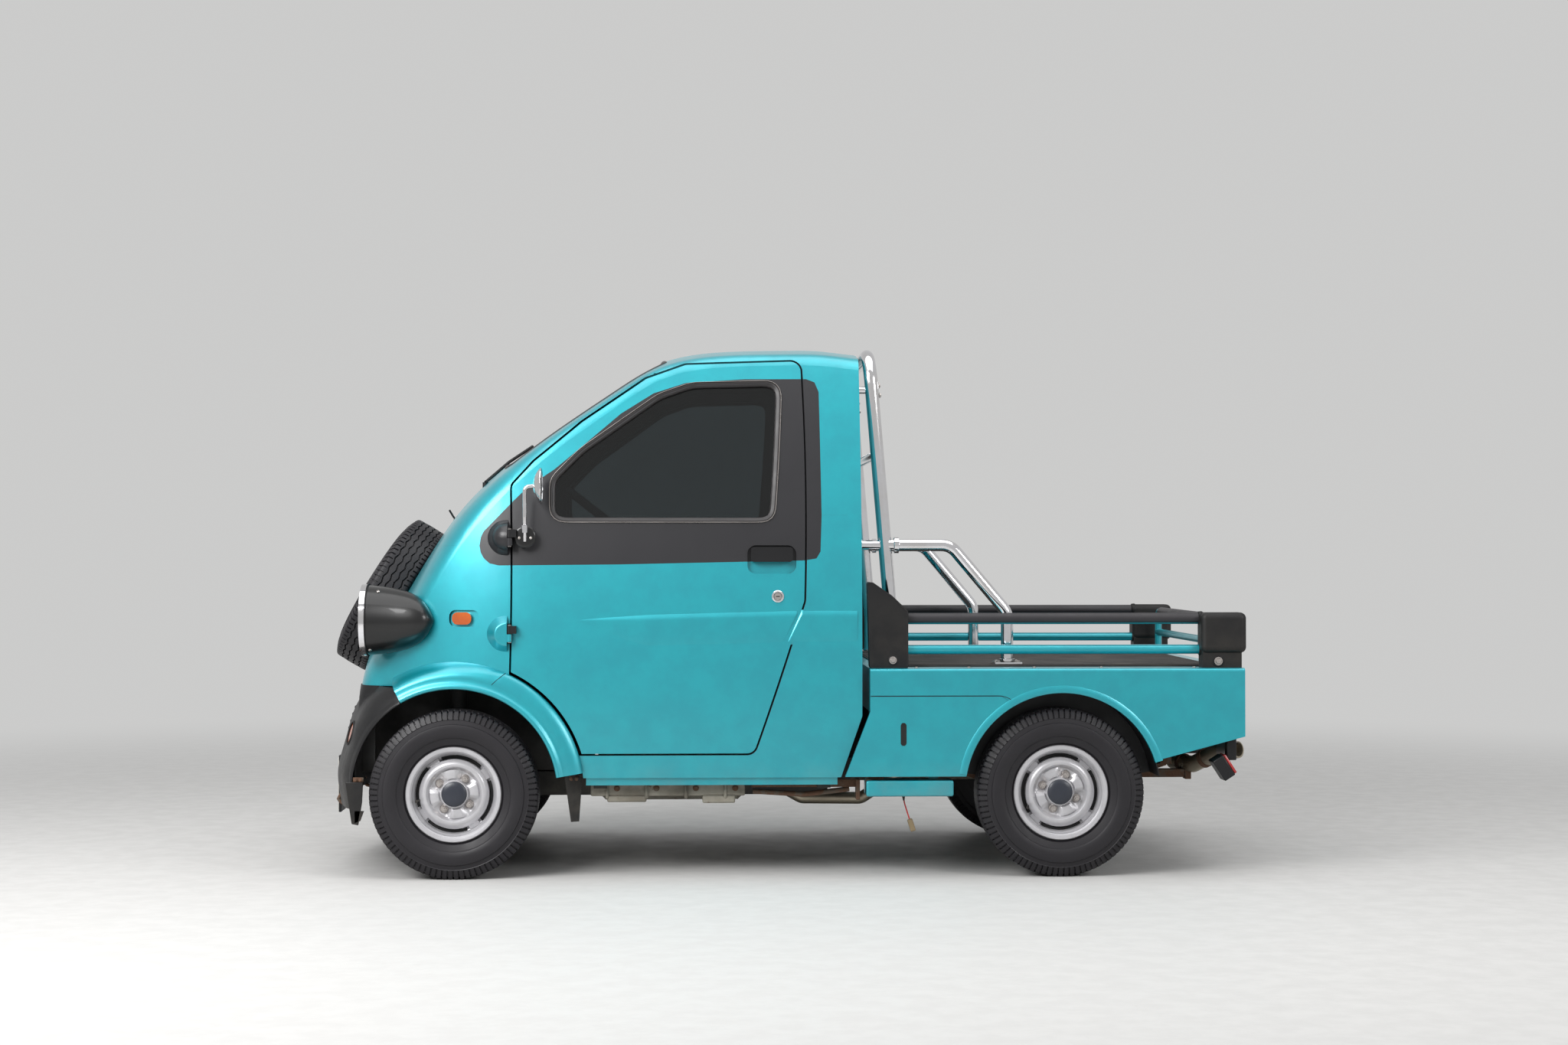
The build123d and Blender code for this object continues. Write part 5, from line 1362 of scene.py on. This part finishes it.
make("hoop_collars", pair(*(lathe(*joint, ring=True) for joint in joints)), "chrome")


def stadium(x, z, half_width, half_height, y0, y1):
    """An upright slot with round ends as a closed slab between two y planes."""
    outline = []
    for turn in range(24):
        angle = math.tau * (turn + 0.5) / 24
        lift = (half_height - half_width) * (1 if math.sin(angle) > 0 else -1)
        outline.append((x + half_width * math.cos(angle), z + half_width * math.sin(angle) + lift))
    return skin([[(px, y, pz) for px, pz in outline] for y in (y0, y1)])


# A near-black stadium plate standing on the side panel: painted shade for an open slot.
bed_slot_shades = stadium(-357.0, 436.5, 9.0, 34.5, 629, 645.5)
make("bed_side_slot_shades", pair(bed_slot_shades), "drum_black_and_painted_shade")
print("bed details placed")

# %% [markdown]
# ## Lamps at the back
# Each tail lamp is a black housing with three lens fields, amber, red and clear.  The fog lamp under
# the left corner is a tilted box with its red lens facing down and back, on a black stay.

# %% Rear lamps and plate
tail = slab(-1411, -1399, 381, 559, 471, 559)
housing = make("tail_lamp_housings", pair(tail), "black_metal", bevel=4.0)
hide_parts("rear_lamps")
fields = (("amber", 505, 553, "amber"), ("red", 437, 501, "red_lens"), ("clear", 387, 433, "lens"))
for label, y0, y1, look in fields:
    field = make(f"tail_lamp_{label}", pair(slab(-1417, -1410, y0, y1, 477, 553)), look, bevel=3.0)
tilt = Matrix.Translation((-1335, 590, 328)) @ Matrix.Rotation(math.radians(33), 4, "Y")
box = moved(slab(-21.5, 16, -35.5, 35.5, -35.5, 35.5), tilt)
face = moved(slab(-30, -21.5, -33, 33, -33, 33), tilt)
make("fog_lamp_box", [box, slab(-1380, -1350, 575, 605, 352, 438)], "black_metal", bevel=3.0)
make("fog_lamp_lens", [face], "red_lens", bevel=3.0)
fog_screws = screw((-30, 0, 27), BACKWARD, 3.5) + screw((-30, 0, -27), BACKWARD, 3.5)
make("fog_lamp_screws", [moved(s, tilt) for s in fog_screws], "bolt_steel")
make("rear_plate", [slab(-1408, -1405.5, -PLATE_HALF, PLATE_HALF, 455, 615)], "plate_white", bevel=0.8)
make("rear_plate_backing", [slab(-1405.5, -1398, -170, 170, 448, 622)], "black_metal", bevel=2.0)
plate_bolts = bolt((-1408, -105, 600), BACKWARD, 5.5) + bolt((-1408, 105, 600), BACKWARD, 5.5)
make("rear_plate_bolts", plate_bolts, "bolt_steel")
print("rear lamps placed")

# %% [markdown]
# ## The seat
# The cushion and the backrest are stuffed vinyl.  Each starts as a block a little smaller than its
# solid, is remeshed evenly, and is blown up by a short cloth simulation that rounds its faces and
# pulls the edges in between the corners.  Piping, runners and belts are added afterwards.

# %% Padded seat
def resting_block(name, low, high, tilt, anchor):
    """A block in metres between two corners, tilted about the Y axis at an anchor."""
    turn = Matrix.Translation(anchor) @ Matrix.Rotation(math.radians(tilt), 4, "Y")
    block = slab(low[0], high[0], low[1], high[1], low[2], high[2])
    return make(name, [moved(block, turn)], "seat_vinyl", bevel=22.0, smooth=60), turn


CLOTH_STEPS = 14


def stuffed(obj, pressure=4.0, cap=24.0, voxel=9.0):
    """Blows a block up with cloth and keeps every point within the cap of where it began."""
    scene = bpy.context.scene
    remesh = obj.modifiers.new("even_mesh", "REMESH")
    remesh.mode, remesh.voxel_size = "VOXEL", voxel * MM
    depsgraph = bpy.context.evaluated_depsgraph_get()
    even = bpy.data.meshes.new_from_object(obj.evaluated_get(depsgraph))
    obj.modifiers.clear()
    obj.data = even
    start_points = [v.co.copy() for v in even.vertices]
    cloth = obj.modifiers.new("stuffing", "CLOTH")
    cloth.settings.quality = 4
    cloth.settings.use_pressure = True
    cloth.settings.uniform_pressure_force = pressure
    cloth.settings.effector_weights.gravity = 0.0
    cloth.point_cache.frame_end = CLOTH_STEPS + 2
    for step in range(1, CLOTH_STEPS + 1):
        scene.frame_set(step)
    depsgraph = bpy.context.evaluated_depsgraph_get()
    blown = bpy.data.meshes.new_from_object(obj.evaluated_get(depsgraph))
    obj.modifiers.clear()
    scene.frame_set(1)
    obj.data = blown
    for vertex, start_point in zip(blown.vertices, start_points):
        shift = vertex.co - start_point
        if shift.length > cap * MM:
            vertex.co = start_point + shift.normalized() * cap * MM
    obj.data.polygons.foreach_set("use_smooth", [True] * len(obj.data.polygons))
    smooth = obj.modifiers.new("even_out", "SMOOTH")
    smooth.iterations = 3
    return obj


base, base_turn = resting_block("seat_base", (-208, -226, -44), (208, 226, 44), -4.0, (248, 0, 672))
back, _ = resting_block("seat_backrest", (-40, -220, -235), (40, 220, 235), -12.5, (-46, 0, 1005))
for pad in (base, back):
    stuffed(pad)
    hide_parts("seat")
hx, hy, z, corner = 214, 232, 47.0, 22
line = [base_turn @ Vector(p) for p in
        ((-hx + corner, -hy, z), (hx - corner, -hy, z), (hx, -hy + corner, z), (hx, hy - corner, z),
         (hx - corner, hy, z), (-hx + corner, hy, z), (-hx, hy - corner, z), (-hx, -hy + corner, z))]
make("seat_piping", [pipe(relax(resample(line, 12), 3), 3.0, 8, closed=True)], "rubber")
runner = [slab(80, 440, sign * 170 - 12, sign * 170 + 12, 604, 622) for sign in (1, -1)]
make("seat_runners", runner, "black_metal", bevel=2.0)
belt = []
for sign in (1, -1):
    ribbon = [(-150, sign * 292, 1215), (-120, sign * 286, 1050), (-96, sign * 280, 860), (-70, sign * 276, 700),
              (-30, sign * 272, 625)]
    belt.append(pipe(resample(ribbon, 20, closed=False), 3, section=[(-23, -0.7), (23, -0.7), (23, 0.7), (-23, 0.7)]))
make("seat_belts", belt, "rubber")
print("seat stuffed")

# %% [markdown]
# ## Wheel, dials and pedals
# Behind the wheel are two round dials, and on the floor three pedals.  The gear lever stands low
# behind them, under the shelf that carries the seat.

# %% Controls
WHEEL_AT, RAKE = Vector((545, 0, 1080)), math.radians(38)
DIAL_FACING = (-0.92, 0, 0.39)
wheel_axis = Vector((-math.sin(RAKE), 0, math.cos(RAKE)))
hub = [lathe([(0.1, 16), (22, 14), (34, 6), (36, -4), (30, -12), (0.1, -14)], WHEEL_AT, wheel_axis, 40)]
make("steering_hub_pad", hub, "dash_plastic", "steering")
dials, faces = [], []
for y in (52, -52):
    dials.append(lathe([(38, 0), (44, 0), (44, 12), (41, 14), (38, 11)], (716, y, 1024), DIAL_FACING, 40, ring=True))
    faces.append(lathe([(0.1, 3), (38, 3), (38, 1), (0.1, 1)], (716, y, 1024), DIAL_FACING, 40))
make("dial_rings", dials, "black_metal")
make("dial_faces", faces, "plate_white")
pedals = []
for y in (-150, -60, 40):
    pedals.append(pipe([(840, y, 560), (810, y, 480), (776, y, 420), (764, y, 404)], 6, 10))
    pedals.append(slab(748, 764, y - 28, y + 28, 378, 430))
make("pedals", pedals, "rubber", bevel=4.0)
lever = [pipe([(520, 260, 330), (520, 262, 460), (505, 264, 540)], 7, 10),
         lathe([(0.1, -22), (16, -16), (20, 0), (16, 16), (0.1, 20)], (502, 264, 556), UP, 28)]
make("gear_lever", lever, "black_metal")
print("controls placed")

# %% [markdown]
# ## Wipers and washer nozzle
# The wipers keep the shape of their solids; the washer nozzle stands up ahead of the glass.

# %% Nozzle
hit, spot, normal, _ = nodes["cab_nose"].ray_cast(Vector((1.6, 0.04, 1.09)), Vector((-1, 0, 0)))
foot = spot / MM if hit else Vector((1040, 40, 1090))
nozzle = [pipe([foot, foot + Vector((10, 0, 14)), foot + Vector((22, 0, 34))], 3.2, 12),
          lathe([(0.1, -2), (9, -2), (8, 4), (4.5, 8), (0.1, 8)], foot, normal, 24)]
make("washer_nozzle", nozzle, "black_metal")
print("nozzle placed")

# %% [markdown]
# ## Under the floor
# Between the sill and the ground hang a long casting, the exhaust with its clamps, a tow bar, the
# brackets of the step box and the stays of the mud flaps.  Nearly all of it is dull and rusty.

# %% Parts under the floor
casting = [slab(120, 590, 500, 548, 244, 290), slab(150, 250, 496, 552, 222, 246), slab(420, 540, 496, 552, 226, 246)]
for x in (180, 300, 420, 540):
    casting.append(slab(x - 5, x + 5, 546, 556, 236, 286))
make("sill_casting", pair(*casting), "dirty_cast", bevel=5.0)
heads = []
for x in (150, 270, 390, 510):
    heads += bolt((x, 548, 268), SIDEWAYS, 7.0)
make("sill_casting_bolts", pair(*heads), "rusty_steel")
brace = [slab(-232, 100, 520, 532, 268, 292), slab(-232, -220, 500, 546, 230, 292),
         pipe([(-200, 528, 262), (-60, 530, 246), (96, 528, 256)], 8, 12)]
make("frame_braces", pair(*brace), "rusty_steel", bevel=1.5)
hanger = [slab(-262, -244, 596, 628, 250, 300), slab(-300, -250, 604, 614, 292, 306)]
make("step_brackets", hanger, "rusty_steel", bevel=1.5)
bands = [lathe([(50.5, -7), (53, -7), (53, 7), (50.5, 7)], (-1250, y, 372), SIDEWAYS, 48, ring=True)
         for y in (-120, 120)]
make("muffler_bands", bands, "rusty_steel")
pipe_end = Vector((-1409.3, 500, 376))
pipe_way = (pipe_end - Vector((-1360, 440, 366))).normalized()
lip = [lathe([(26.2, 0), (27.3, 1), (27.3, 60), (26.4, 66), (23.4, 66), (23.4, 52), (26.1, 48)],
             pipe_end - pipe_way * 67, pipe_way, 36, ring=True)]
make("tailpipe_lip", lip, "bolt_steel")
band = [(26.2, -7), (29.6, -7), (29.6, 7), (26.2, 7)]
ring = [lathe(band, (-1281, 287.5, 318), (-38, 115, 0), 36, ring=True),
        lathe(band, (-1328, 389, 340.5), (-60, 95, 48), 36, ring=True)]
make("tailpipe_clamps", ring, "rusty_steel")
tow = [slab(-1290, -1104, 300, 330, 276, 302), slab(-1296, -1276, 296, 334, 270, 330)]
make("tow_bars", tow, "rusty_steel", bevel=2.0)
stays = []
for x in (1290, 640):
    y = 577 if x > 1000 else 563
    stays.append(slab(x - 16, x + 16, y - 6, y - 3.2, 292, 306))
    stays += bolt((x - 8, y + 3, 299), SIDEWAYS, 4.5) + bolt((x + 8, y + 3, 299), SIDEWAYS, 4.5)
make("flap_stays", pair(*stays), "rusty_steel", bevel=0.8)
clips = []
for x in (-620, -760, -920, -1060):
    clips.append(slab(x - 12, x + 12, 386, 434, 226, 262))
make("spring_clips", pair(*clips), "rusty_steel", bevel=2.0)
print("underside placed")

# %% [markdown]
# ## Floor, world and lamps
# A plain pale floor and a pale world keep the truck the only thing to look at.  One very large soft
# lamp overhead draws the long highlights along the roof, the door and the bed, a stronger and
# smaller one ahead lights the nose, and a weak one behind fills the tail.  Reflections and glass
# see the same pale backdrop as the camera does.

# %% Studio
BACKDROP = (0.6, 0.6, 0.595, 1.0)
FLOOR_RADIUS = 60.0
HAZE_FROM, HAZE_TO = 2.2, 7.5


def rays_that_show(tree):
    """1 for the rays that see the backdrop: the camera's, a reflection's or one through glass."""
    paths = put(tree, "LightPath").outputs
    return calc(tree, "MAXIMUM", calc(tree, "MAXIMUM", paths["Is Camera Ray"], paths["Is Glossy Ray"]),
                paths["Is Transmission Ray"])


floor_mesh = bpy.data.meshes.new("floor")
sheet = bmesh.new()
bmesh.ops.create_circle(sheet, cap_ends=True, radius=FLOOR_RADIUS, segments=96)
sheet.to_mesh(floor_mesh)
sheet.free()
floor = bpy.data.objects.new("floor", floor_mesh)
bpy.context.scene.collection.objects.link(floor)
floor_paint = finish("floor_pale", rgb(196, 195, 193), second=rgb(190, 189, 187), rough=0.6, spread=0.1, grain=0.02,
                     scale=60.0)
tree = floor_paint.node_tree
seen = rays_that_show(tree)
away = put(tree, "VectorMath", put(tree, "TexCoord").outputs["Object"], operation="LENGTH").outputs["Value"]
far = calc(tree, "MULTIPLY", smooth_step(tree, away, HAZE_FROM, HAZE_TO), seen)
haze = put(tree, "Emission", BACKDROP, 1.0).outputs[0]
surface = put(tree, "MixShader", far, tree.nodes["Principled BSDF"].outputs[0], haze).outputs[0]
feed(tree, tree.nodes["Material Output"].inputs["Surface"], surface)
floor_mesh.materials.append(floor_paint)

world = bpy.data.worlds.new("studio_world")
bpy.context.scene.world = world
world.use_nodes = True
tree = world.node_tree
background = tree.nodes["Background"]
seen = rays_that_show(tree)
direction = put(tree, "TexCoord").outputs["Generated"]
rise = put(tree, "SeparateXYZ", direction).outputs[2]
ramp = put(tree, "MapRange", rise, -1.0, 1.0, 0.0, 1.0).outputs[0]
tones = put(tree, "ValToRGB", ramp)
stops = tones.color_ramp.elements
stops[0].position, stops[0].color = 0.0, (0.5, 0.5, 0.5, 1.0)
stops[1].position, stops[1].color = 1.0, (0.62, 0.63, 0.64, 1.0)
for position, level in ((0.40, 0.40), (0.49, 0.20), (0.53, 0.07), (0.64, 0.09), (0.74, 0.34)):
    stops.new(position).color = (level, level, level * 1.03, 1.0)
tree.links.new(blend_colour(tree, seen, tones.outputs[0], BACKDROP), background.inputs["Color"])


def area_lamp(name, place, target, width, depth, watts):
    """A soft rectangular lamp aimed at a point."""
    data = bpy.data.lights.new(name, "AREA")
    data.shape = "RECTANGLE"
    data.size, data.size_y, data.energy = width, depth, watts
    lamp = bpy.data.objects.new(name, data)
    lamp.location = place
    lamp.rotation_euler = (Vector(target) - Vector(place)).to_track_quat("-Z", "Y").to_euler()
    bpy.context.scene.collection.objects.link(lamp)
    return lamp


area_lamp("overhead", (0.2, 1.2, 5.4), (0.2, 0.2, 0.6), 7.0, 4.5, 200.0)
area_lamp("front_key", (3.6, 3.9, 3.5), (0.9, 0.4, 0.9), 3.4, 2.4, 320.0)
area_lamp("back_fill", (-4.5, 4.0, 3.0), (-0.6, 0.4, 0.7), 2.4, 1.6, 110.0)
print("studio ready")
